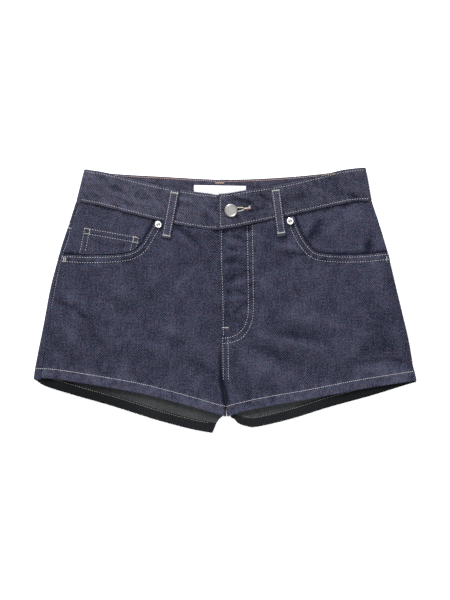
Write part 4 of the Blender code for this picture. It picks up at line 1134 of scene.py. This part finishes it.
# ---- Sewing ----
class Sewing:
    """Stitches laid on the surfaces of cloth pieces and gathered into one mesh."""

    RINGS = ((0.06, 0.7), (0.3, 1.0), (0.7, 1.0), (0.94, 0.7))   # shares of length and of radius
    ANGLES = np.radians(np.arange(0.0, 360.0, 60.0))

    def __init__(self, name, material, seed):
        self.name = name
        self.material = material
        self.verts = []
        self.faces = []
        self.random = random.Random(seed)

    def strand(self, spots, up, radius):
        """One stitch through three points, whose ends dip into the cloth."""
        start, middle, end = np.array(spots)
        side = np.cross(end - start, (0.0, 0.0, 1.0))
        side /= np.linalg.norm(side)

        def at(t):
            spot = ((1.0 - t) ** 2 * start + t * t * end
                    + 2.0 * t * (1.0 - t) * (2.0 * middle - 0.5 * (start + end)))
            spot[2] += up * radius * (1.05 * (1.0 - (2.0 * t - 1.0) ** 4) - 0.45)
            return spot

        self.faces += spun_faces(len(self.verts), len(self.RINGS), len(self.ANGLES))
        self.verts.append(at(0.0))
        for t, share in self.RINGS:
            ring = at(t) + radius * share * np.outer(np.cos(self.ANGLES), side)
            ring[:, 2] = np.maximum(ON_FLOOR, ring[:, 2] + radius * share * np.sin(self.ANGLES))
            self.verts.extend(ring)
        self.verts.append(at(1.0))

    def lay(self, start, end, surface, radius):
        """One stitch between two points seen from above or below."""
        spots = (start, 0.5 * (start + end), end)
        heights = [surface(*spot) for spot in spots]
        if None in heights or max(heights) - min(heights) > LARGEST_DROP:
            return
        self.strand([(*spot, z) for spot, z in zip(spots, heights)], surface.way, radius)

    def run(self, line, surface, pitch=STITCH_PITCH, stitch=STITCH, radius=THREAD, share=(0, 1)):
        """A row of stitches along a line, between two shares of its length."""
        whole = length(line)
        at = share[0] * whole
        while at + stitch < share[1] * whole:
            slip = self.random.uniform(-0.12, 0.12)
            start, end = along(line, np.array([at + slip, at + slip + stitch]) / whole)
            aside = -left_of(unit(end - start))
            start = start + aside * self.random.uniform(-0.1, 0.1)
            end = end + aside * self.random.uniform(-0.1, 0.1)
            self.lay(start, end, surface, radius)
            at += pitch

    def bartack(self, centre, degrees, size, width, surface, pitch=0.55, radius=0.3):
        """A bar of close cross stitches, its length along an angle from +X."""
        turn = math.radians(degrees)
        bar = np.array([math.cos(turn), math.sin(turn)])
        count = int(size / pitch)
        for k in range(count + 1):
            spot = centre + bar * (k / count - 0.5) * size
            arm = left_of(bar) * 0.5 * width * self.random.uniform(0.88, 1.08) + 0.25 * bar
            self.lay(spot - arm, spot + arm, surface, radius)

    def satin(self, line, width, surface, pitch=0.5, radius=0.24):
        """Close stitches across a line."""
        whole = length(line)
        for k in range(int(whole / pitch)):
            shares = np.array([max(0.0, k - 0.5), k, k + 0.5]) * pitch / whole
            start, spot, end = along(line, shares)
            way = unit(end - start)
            half = 0.5 * width * self.random.uniform(0.85, 1.1) * left_of(way)
            self.lay(spot - half, spot + half + 0.12 * way, surface, radius)

    def finish(self):
        piece = new_object(self.name, self.verts, self.faces, [self.material])
        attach(piece, "root")


class Surface:
    """The highest, or from below the lowest, point of some pieces at a place."""

    def __init__(self, made, *nodes, way=1):
        self.way = way
        self.trees = []
        for node in nodes:
            mesh = made[node].data
            self.trees.append(BVHTree.FromPolygons([v.co.copy() for v in mesh.vertices],
                                                   [tuple(p.vertices) for p in mesh.polygons]))

    def __call__(self, x, y):
        start = Vector((x * MM, y * MM, 0.05 * self.way))
        found = [tree.ray_cast(start, Vector((0.0, 0.0, -self.way)))[0] for tree in self.trees]
        heights = [spot.z / MM for spot in found if spot is not None]
        if not heights:
            return None
        return max(heights) if self.way > 0 else min(heights)


# ---- Materials ----
class Nodes:
    """Short calls for building a material's nodes."""

    def __init__(self, name):
        self.material = bpy.data.materials.new(name)
        self.material.use_nodes = True
        self.tree = self.material.node_tree
        self.shader = self.tree.nodes["Principled BSDF"]

    def node(self, kind, **settings):
        made = self.tree.nodes.new(kind)
        for key, value in settings.items():
            setattr(made, key, value)
        return made

    def put(self, socket, value):
        if isinstance(value, bpy.types.NodeSocket):
            self.tree.links.new(value, socket)
        else:
            socket.default_value = value

    def math(self, operation, a, b=0.0, clamp=False):
        made = self.node("ShaderNodeMath", operation=operation, use_clamp=clamp)
        self.put(made.inputs[0], a)
        self.put(made.inputs[1], b)
        return made.outputs[0]

    def add(self, a, b, clamp=False):
        return self.math("ADD", a, b, clamp)

    def times(self, a, b):
        return self.math("MULTIPLY", a, b)

    def place(self):
        return self.node("ShaderNodeTexCoord").outputs["Object"]

    def split(self, vector):
        made = self.node("ShaderNodeSeparateXYZ")
        self.put(made.inputs[0], vector)
        return made.outputs

    def vector(self, *parts):
        made = self.node("ShaderNodeCombineXYZ")
        for socket, value in zip(made.inputs, parts):
            self.put(socket, value)
        return made.outputs[0]

    def noise(self, vector, detail=2.0, scale=1.0):
        made = self.node("ShaderNodeTexNoise")
        for socket, value in (("Vector", vector), ("Scale", scale), ("Detail", detail)):
            self.put(made.inputs[socket], value)
        return made.outputs["Fac"]

    def mix(self, share, a, b, **settings):
        made = self.node("ShaderNodeMix", data_type="RGBA", **settings)
        for socket, value in (("Factor", share), ("A", a), ("B", b)):
            self.put(made.inputs[socket], (*value, 1.0) if isinstance(value, tuple) else value)
        return made.outputs["Result"]

    def bump(self, height, distance, strength):
        made = self.node("ShaderNodeBump")
        for socket, value in (("Strength", strength), ("Distance", distance), ("Height", height)):
            self.put(made.inputs[socket], value)
        self.put(self.shader.inputs["Normal"], made.outputs["Normal"])

    def finish(self, colour, roughness, **settings):
        self.put(self.shader.inputs["Base Color"], colour)
        self.put(self.shader.inputs["Roughness"], roughness)
        for key, value in settings.items():
            socket = key.replace("_", " ").title().replace("Ior", "IOR")
            self.shader.inputs[socket].default_value = value
        return self.material


COOL = (0.86, 1.02, 1.05)     # what the dye's unevenness multiplies the colour by
WARM = (1.15, 0.98, 0.96)


def denim(name, dark, light, lean=1.0, contrast=1.0):
    """Indigo twill: its diagonal lines, uneven yarns, slubs and cloudy dye.

    lean is 1 for lines that rise to the right, as on the face, and -1 for the wrong side.
    """
    nodes = Nodes(name)
    place = nodes.node("ShaderNodeAttribute", attribute_name="weave")
    across, up, wear_and_shade = nodes.split(place.outputs["Vector"])

    def uneven(wide, tall, seed=0.0, detail=2.0):
        return nodes.noise(nodes.vector(nodes.math("DIVIDE", across, wide),
                                        nodes.math("DIVIDE", up, tall), seed), detail)

    turn = math.radians(TWILL_ANGLE)
    lines = nodes.add(nodes.times(across, -lean * math.sin(turn) / TWILL_PITCH),
                      nodes.times(up, math.cos(turn) / TWILL_PITCH))
    wander = nodes.times(uneven(6.0, 6.0), 0.7)
    twill = nodes.math("SINE", nodes.times(nodes.add(lines, wander), 2.0 * math.pi))
    yarn = uneven(0.7, 1.5, 4.0, 1.0)
    slub = uneven(1.1, 26.0, 8.0, 1.0)
    weft = uneven(22.0, 1.0, 12.0, 1.0)
    fleck = uneven(2.2, 2.2, 16.0)
    cloud = uneven(26.0, 26.0, 20.0)
    total = nodes.times(twill, 0.25 * contrast)
    for part, weight in ((yarn, 0.9), (slub, 0.5), (weft, 0.3), (fleck, 1.3), (cloud, 0.35)):
        centred = nodes.times(nodes.math("SUBTRACT", part, 0.5), weight * contrast)
        total = nodes.add(total, centred)
    # The third part of weave lightens the colour where the cloth is worn, and carries the painted
    # light and shade.
    total = nodes.add(nodes.add(total, 0.3), nodes.times(wear_and_shade, 0.1), True)
    hue = nodes.math("SUBTRACT", uneven(7.0, 7.0, 24.0, 3.0), 0.5)
    dye = nodes.mix(nodes.add(nodes.times(hue, 2.6), 0.5, True), COOL, WARM)
    nodes.bump(nodes.add(nodes.times(twill, 0.3), yarn), 0.00016, 0.9)
    return nodes.finish(nodes.mix(1.0, nodes.mix(total, dark, light), dye, blend_type="MULTIPLY"),
                        nodes.add(0.78, nodes.times(fleck, 0.16)), specular_ior_level=0.07,
                        sheen_weight=0.04, sheen_roughness=0.6, sheen_tint=(0.5, 0.5, 0.5, 1.0))


def thread(name, colour, shade):
    """Twisted topstitching thread."""
    nodes = Nodes(name)
    fine = nodes.noise(nodes.place(), 1.0, 900.0)
    broad = nodes.noise(nodes.place(), 1.0, 160.0)
    nodes.bump(fine, 0.0001, 0.6)
    share = nodes.add(nodes.times(fine, 0.5), nodes.times(broad, 0.5))
    return nodes.finish(nodes.mix(share, shade, colour), nodes.add(0.42, nodes.times(fine, 0.2)),
                        sheen_weight=0.25, specular_ior_level=0.45)


def metal(name, colour, shade, roughness):
    """Brushed, slightly handled nickel."""
    nodes = Nodes(name)
    fine = nodes.noise(nodes.place(), 3.0, 1500.0)
    nodes.bump(fine, 0.00002, 0.4)
    return nodes.finish(nodes.mix(nodes.noise(nodes.place(), 3.0, 260.0), shade, colour),
                        nodes.add(roughness, nodes.times(fine, 0.14)), metallic=1.0)


def plain_weave(name, colour, shade, pitch, roughness=0.85):
    nodes = Nodes(name)
    x, y, _ = nodes.split(nodes.place())
    over, under = [nodes.math("SINE", nodes.times(part, 2.0 * math.pi / (pitch * MM)))
                   for part in (x, y)]
    grid = nodes.times(over, under)
    cloud = nodes.noise(nodes.place(), 2.0, 120.0)
    nodes.bump(grid, 0.00006, 0.5)
    share = nodes.add(nodes.times(grid, 0.18), cloud, True)
    return nodes.finish(nodes.mix(share, shade, colour),
                        nodes.add(roughness - 0.06, nodes.times(cloud, 0.12)), sheen_weight=0.1)


def floor_material():
    nodes = Nodes("studio_floor")
    cloud = nodes.noise(nodes.place(), 2.0, 3.0)
    return nodes.finish(nodes.mix(cloud, (0.97, 0.97, 0.97), (0.985, 0.985, 0.985)), 0.9,
                        specular_ior_level=0.1)


# ---- Studio ----
VIEW_HEIGHT = 762.0       # what the picture's height takes in, at the garment
LENS = 85.0
SENSOR = 36.0
GARMENT_MIDDLE = 5.0
LIGHTS = [
    # name, place, size and power
    ("key", (-1.7, 4.0, 2.3), 1.6, 560.0),
    ("fill", (1.2, -1.9, 2.0), 1.6, 49.0),
    ("overhead", (0.1, 0.0, 2.6), 2.0, 18.5),
]


def studio():
    bpy.ops.mesh.primitive_plane_add(size=8.0, location=(0.0, 0.0, -0.0004))
    floor = bpy.context.object
    floor.name = "studio_floor"
    floor.data.materials.append(floor_material())

    scene = bpy.context.scene
    camera = bpy.data.objects.new("camera", bpy.data.cameras.new("camera"))
    camera.data.lens = LENS
    camera.data.sensor_fit = "VERTICAL"
    camera.data.sensor_height = SENSOR
    camera.location = (0.0, 0.0, (VIEW_HEIGHT * LENS / SENSOR + GARMENT_MIDDLE) * MM)
    scene.collection.objects.link(camera)
    scene.camera = camera
    for name, place, size, power in LIGHTS:
        light = bpy.data.lights.new(name, "AREA")
        light.shape = "SQUARE"
        light.size = size
        light.energy = power
        lamp = bpy.data.objects.new(name, light)
        lamp.location = place
        lamp.rotation_euler = (-Vector(place)).to_track_quat("-Z", "Y").to_euler()
        scene.collection.objects.link(lamp)

    world = bpy.data.worlds.new("studio")
    world.use_nodes = True
    ground = world.node_tree.nodes["Background"]
    ground.inputs["Color"].default_value = (1.0, 1.0, 1.0, 1.0)
    ground.inputs["Strength"].default_value = 0.61
    scene.world = world
    scene.view_settings.view_transform = "Standard"
    scene.cycles.use_denoising = False      # it would wipe out the weave


# ---- The shorts ----
THREADS = [
    # name, colour, and the colour between its strands
    ("pale", (0.49, 0.49, 0.5), (0.26, 0.26, 0.275)),
    ("cream", (0.41, 0.385, 0.305), (0.23, 0.21, 0.16)),
    ("tack", (0.37, 0.38, 0.335), (0.17, 0.18, 0.16)),
    ("salmon", (0.57, 0.38, 0.3), (0.38, 0.23, 0.17)),
    ("red", (0.33, 0.09, 0.065), (0.17, 0.04, 0.035)),
    ("blue", (0.3, 0.32, 0.4), (0.14, 0.16, 0.23)),
    ("grey", (0.24, 0.23, 0.19), (0.1, 0.095, 0.08)),
]


def cloth_piece(piece, node):
    """Puts a piece of cloth in its node's place: hides the node's solid and hangs the piece from
    the root.
    """
    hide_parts(node)
    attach(piece, "root")


def rigid_piece(piece, node):
    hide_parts(node)
    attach(piece, "root")


def build():
    studio()
    face = denim("denim_face", (0.0021, 0.0025, 0.009), (0.057, 0.0583, 0.0905))
    band_denim = denim("denim_band", (0.0023, 0.0025, 0.0085), (0.0575, 0.0585, 0.0865))
    # The wrong side's own colour, set dark enough to stand partly for the painted shade inside the
    # leg openings.
    inside = denim("denim_inside_shaded", (0.0105, 0.0115, 0.012), (0.0595, 0.0625, 0.065), -1.0, 0.62)
    # The cloth's face on the turned-up hems inside the legs, painted near black for the shade it
    # lies in.
    turned_up_in_shade = denim("denim_turned_up", (0.0018, 0.0021, 0.0026), (0.013, 0.015, 0.018), 1.0, 0.8)
    both = [face, inside]
    threads = {name: thread(name + "_thread", colour, shade) for name, colour, shade in THREADS}
    steel = metal("bright_steel", (0.72, 0.71, 0.7), (0.56, 0.55, 0.54), 0.22)
    satin_steel = metal("satin_steel", (0.3, 0.294, 0.29), (0.21, 0.205, 0.2), 0.34)
    lining = plain_weave("pocketing", (0.62, 0.61, 0.58), (0.5, 0.49, 0.46), 0.5)
    satin = plain_weave("label_satin", (0.57, 0.57, 0.6), (0.52, 0.52, 0.545), 0.4, 0.55)
    tape = plain_weave("zip_tape", (0.05, 0.052, 0.08), (0.02, 0.02, 0.035), 0.8)
    made = {}

    def pair(kind, make, materials, *tables):
        """The right and the left piece of a kind, each from its own outlines."""
        for k, (side, mirror) in enumerate(SIDES):
            node = f"{kind}_{side}"
            outlines = [table[k] for table in tables]
            made[node] = make(node + "_cloth", mirror, *outlines, materials)

    pockets = (POCKET_RIGHT, POCKET_LEFT)
    pair("front", front_panel, both, pockets, (FRONT_HEM_RIGHT, FRONT_HEM_LEFT))
    pair("back", back_panel, [face, inside, turned_up_in_shade], (BACK_HEM_RIGHT, BACK_HEM_LEFT),
         (BACK_INNER_RIGHT, BACK_INNER_LEFT))
    pair("yoke", yoke, both)
    made["waistband"] = waistband("waistband_cloth", [band_denim])
    cut_buttonhole(made["waistband"])
    pair("pocket_facing", pocket_facing, both, pockets)
    made["coin_pocket"] = coin_pocket("coin_pocket_cloth", both)
    pair("back_pocket", back_pocket, both)
    pair("pocket_bag", pocket_bag, [lining])
    made["fly_shield"] = flat_piece("fly_shield_cloth", FLY_SHIELD, BAG_FLOOR, BAG_CLOTH, both,
                                    3.0)
    made["zip"] = flat_piece("zip_tape", ZIP, BAG_FLOOR + BAG_CLOTH + GAP, ZIP_CLOTH, [tape], 3.0)
    made["label"] = flat_piece("label_cloth", LABEL, SEAT_LIFT + BAND + 0.25, LABEL_CLOTH, [satin],
                               2.0, relief=lambda x, y, edge: 0.25 * swell(x, y, 16.0, 81.0))

    band_face = BAND_FLOOR + BAND + GAP
    panel_face = FRONT_FLOOR + DENIM + GAP
    over_seam = [(0.0, band_face), (0.06, band_face + 0.1), (0.2, band_face + 1.0),
                 (0.45, band_face + 1.2), (0.66, band_face + 0.5), (0.8, band_face),
                 (0.92, panel_face + 0.2), (1.0, panel_face + 0.1)]
    for loops, heights, cloth, under in (
        (FRONT_LOOPS, over_seam, LOOP_CLOTH, False),
        (BACK_LOOPS, [(0.0, SOLE), (1.0, SOLE)], SEAT_LIFT - GAP - SOLE, True),
    ):
        for name, x0, y0, x1, y1, _, _ in loops:
            made[name] = belt_loop(name + "_cloth", (x0, y0), (x1, y1), heights, cloth,
                                   [band_denim, inside], under)
    for node, piece in made.items():
        cloth_piece(piece, node)

    cap = band_face + BAND_STEP + 0.2
    profile = [(0.0, band_face, 0), (BUTTON_NECK, band_face, 0), (BUTTON_NECK, cap, 0)]
    profile += [(0.5 * BUTTON_ACROSS - inset, cap + rise, 0) for inset, rise in BUTTON_RIM]
    profile.append((0.0, cap + 2.0, 0))
    rigid_piece(turned("button_metal", profile, BUTTON_AT, [satin_steel]), "button")
    foot = panel_face + EDGE_FOLD
    profile = [(0.0, foot, 0)]
    profile += [(0.5 * RIVET_ACROSS - inset, foot + rise, part) for inset, rise, part in RIVET_RIM]
    profile.append((0.0, foot + 1.2, 1))
    for name, x, y in RIVETS:
        rigid_piece(turned(name + "_metal", profile, (x, y), [steel, satin_steel], 40), name)
    sew(made, threads)


def front_rows(made, threads):
    """The stitches of the two front panels and their facings."""
    right, left = Surface(made, "front_right"), Surface(made, "front_left")
    rows = Sewing("panel_stitches", threads["pale"], 11)
    for pocket, panel in ((POCKET_RIGHT, right), (POCKET_LEFT, left)):
        for away in OPENING_ROWS:
            rows.run(row_beside(pocket, away), panel)
    for line in (FLY_INNER, FLY_OUTER):
        rows.run(smooth(line), left)
    whole_right = Surface(made, "front_right", "back_right")
    for hem, panel in ((FRONT_HEM_RIGHT, whole_right), (FRONT_HEM_LEFT, left)):
        rows.run(row_beside(hem, -HEM_ROW), panel, *FRONT_HEM_STITCH)
    for away, start, end in ((3.4, 88.0, -46.0), (2.4, -48.0, -103.0), (9.0, -48.0, -103.0)):
        rows.run(edge_by_height(lambda y: lap_edge(y) + away, start, end, 40), left)
    rows.finish()

    side = Sewing("side_stitches", threads["blue"], 15)
    side.run(smooth(SIDE_STITCHES), Surface(made, "front_right", "pocket_facing_right"))
    side.finish()


def band_rows(made, threads):
    """The waistband's stitches, outside and inside, and round its buttonhole."""
    band, below = Surface(made, "waistband"), Surface(made, "waistband", way=-1)

    def two_rows(top, seam, top_ends, seam_ends, steps, surface):
        rows.run(seam_line(*top_ends, lambda x: top(x) - BAND_TOP_ROW, steps), surface)
        rows.run(seam_line(*seam_ends, lambda x: seam(x) + BAND_SEAM_ROW, steps), surface)

    rows = Sewing("waistband_stitches", threads["pale"], 12)
    two_rows(band_top, band_seam, (-176.0, -11.0), (-182.0, -11.0), 60, band)
    two_rows(band_top, band_seam, (-5.0, 176.0), (-5.0, 182.0), 60, band)
    rows.run(points(-5.4, np.linspace(93.0, 131.0, 12)), band)
    two_rows(back_top, back_seam, (-180.0, 180.0), (-180.0, 180.0), 90, below)
    rows.finish()

    eyelet = Sewing("buttonhole_stitches", threads["cream"], 19)
    way = unit(np.array([BUTTONHOLE["reach"], BUTTONHOLE["rise"]]))
    near_end, far_end, slit_end, tack_at = [BUTTON_AT + way * d for d in (5.0, 16.5, 25.4, 24.0)]
    for side in (-1.0, 1.0):
        arm = np.array([near_end + side * 3.0 * left_of(way), far_end + side * 1.4 * left_of(way)])
        eyelet.satin(arm, 1.7, band)
    eyelet.satin(np.array([far_end, slit_end]), 2.2, band)
    tilt = math.degrees(math.atan2(way[1], way[0]))
    eyelet.bartack(tack_at + (0.0, 0.8), tilt + 90.0, 2.8, 2.4, band)
    eyelet.finish()
    end = Sewing("buttonhole_end", threads["red"], 21)
    end.bartack(tack_at - (1.0, 1.3), tilt, 4.4, 1.5, band, 0.5, 0.22)
    end.finish()

    chain = Sewing("inner_band_stitches", threads["salmon"], 13)
    chain.run(seam_line(-140.0, 140.0, lambda x: back_top(x) - 2.2, 80), band, 2.6, 2.1)
    chain.bartack((-6.9, 148.7), 0.0, 11.0, 1.1, band)
    chain.finish()


def coin_rows(made, threads):
    coin = Surface(made, "coin_pocket", "pocket_facing_right")
    rows = Sewing("coin_pocket_stitches", threads["pale"], 16)
    tacks = Sewing("coin_pocket_tacks", threads["tack"], 22)
    for away in COIN_ROWS:
        rows.run(seam_line(-178.0, -110.0, lambda x: coin_top(x) - away), coin)
    for top, bottom in ((-178.0, -184.2), (-171.6, -177.6), (-109.8, -114.4), (-116.2, -120.8)):
        rows.run(np.array([(top, coin_top(top) - 2.0), (bottom, 60.0)]), coin)
    lean = math.degrees(math.atan2(coin_top(1.0) - coin_top(0.0), 1.0))
    end = Sewing("coin_pocket_end", threads["salmon"], 23)
    end.bartack((-114.4, coin_top(-114.4) - 1.4), lean, 5.0, 1.1, coin, 0.6, 0.2)
    end.finish()
    for x, inwards, bars in ((-174.8, 3.2, COIN_ROWS), (-113.0, -3.2, COIN_ROWS[1:])):
        for away in bars:
            tacks.bartack((x, coin_top(x) - away), lean, 7.0, 1.1, coin, 0.7, 0.2)
        tacks.bartack((x + inwards, coin_top(x) - 4.8), 90.0 + lean, 5.5, 1.0, coin, 0.7, 0.2)
    rows.finish()
    tacks.finish()


def seat_rows(made, threads):
    """The stitches of the back pieces: the hems from inside, and all that shows from behind."""
    hems = Sewing("back_hem_stitches", threads["grey"], 17)
    rows = Sewing("seat_stitches", threads["pale"], 18)
    for (side, mirror), hem in zip(SIDES, (BACK_HEM_RIGHT, BACK_HEM_LEFT)):
        below = Surface(made, f"back_{side}", way=-1)
        line = row_beside(hem, -BACK_HEM_ROW)
        hems.run(line, Surface(made, f"back_{side}"), *INNER_HEM_STITCH, (0.04, 0.97))
        rows.run(line, below, *BACK_HEM_STITCH, (0.03, 0.99))
        for drop, aside in SEAT_ROWS:
            rows.run(seam_line(mirror * 3.0, mirror * 186.0, lambda x: yoke_seam(x) - drop, 60),
                     below)
            if mirror > 0:
                rows.run(edge_by_height(lambda y: back_centre(y) + aside, 46.0, -112.0, 50), below)
    left_yoke = Surface(made, "yoke_left", way=-1)
    for _, aside in SEAT_ROWS:
        rows.run(points(aside, np.linspace(back_seam(0.0) - 4.0, 56.0, 20)), left_yoke)
    for side, mirror in SIDES:
        pocket = Surface(made, f"back_pocket_{side}", way=-1)
        for inset in POCKET_ROWS:
            for line in pocket_border(mirror, inset):
                rows.run(line, pocket)
        for x, y in ((52.5, 56.5), (172.5, 71.5)):
            rows.bartack((mirror * x, y), 90.0, 8.0, 1.8, pocket)
    hems.finish()
    rows.finish()


def tacks_and_loops(made, threads):
    tacks = Sewing("bartacks", threads["tack"], 14)
    rows = Sewing("belt_loop_stitches", threads["pale"], 20)
    right, left = Surface(made, "front_right"), Surface(made, "front_left")
    tacks.bartack(FLY_BARTACK, 0.0, 7.6, 1.5, left, 0.5, 0.22)
    tacks.bartack((-197.4, 91.2), -15.0, 4.6, 1.3,
                  Surface(made, "pocket_facing_right", "back_right"))
    for x in (-204.5, -202.3):
        tacks.bartack((x, 51.2), 90.0, 5.6, 1.6, right, 0.6, 0.26)
    tacks.bartack((205.2, 52.3), 90.0, 5.6, 1.5, left, 0.7, 0.22)
    for table, way_up in ((FRONT_LOOPS, 1), (BACK_LOOPS, -1)):
        for name, x0, y0, x1, y1, top_tack, bottom_tack in table:
            loop = Surface(made, name, way=way_up)
            span = math.hypot(x1 - x0, y1 - y0)
            top, way = np.array([x0, y0]), np.array([x1 - x0, y1 - y0]) / span
            for side in (-LOOP_ROW, LOOP_ROW):
                line = np.array([top + way * d + left_of(way) * side for d in (3.0, span - 3.0)])
                rows.run(line, loop, *LOOP_STITCH)
            lean = math.degrees(math.atan2(way[1], way[0])) + 90.0
            for d in (top_tack, span - bottom_tack):
                tacks.bartack(top + way * d, lean, 9.4, 1.7, loop, 0.5, 0.24)
    tacks.finish()
    rows.finish()


def sew(made, threads):
    """All the sewing that shows, piece by piece."""
    front_rows(made, threads)
    band_rows(made, threads)
    coin_rows(made, threads)
    seat_rows(made, threads)
    tacks_and_loops(made, threads)


build()
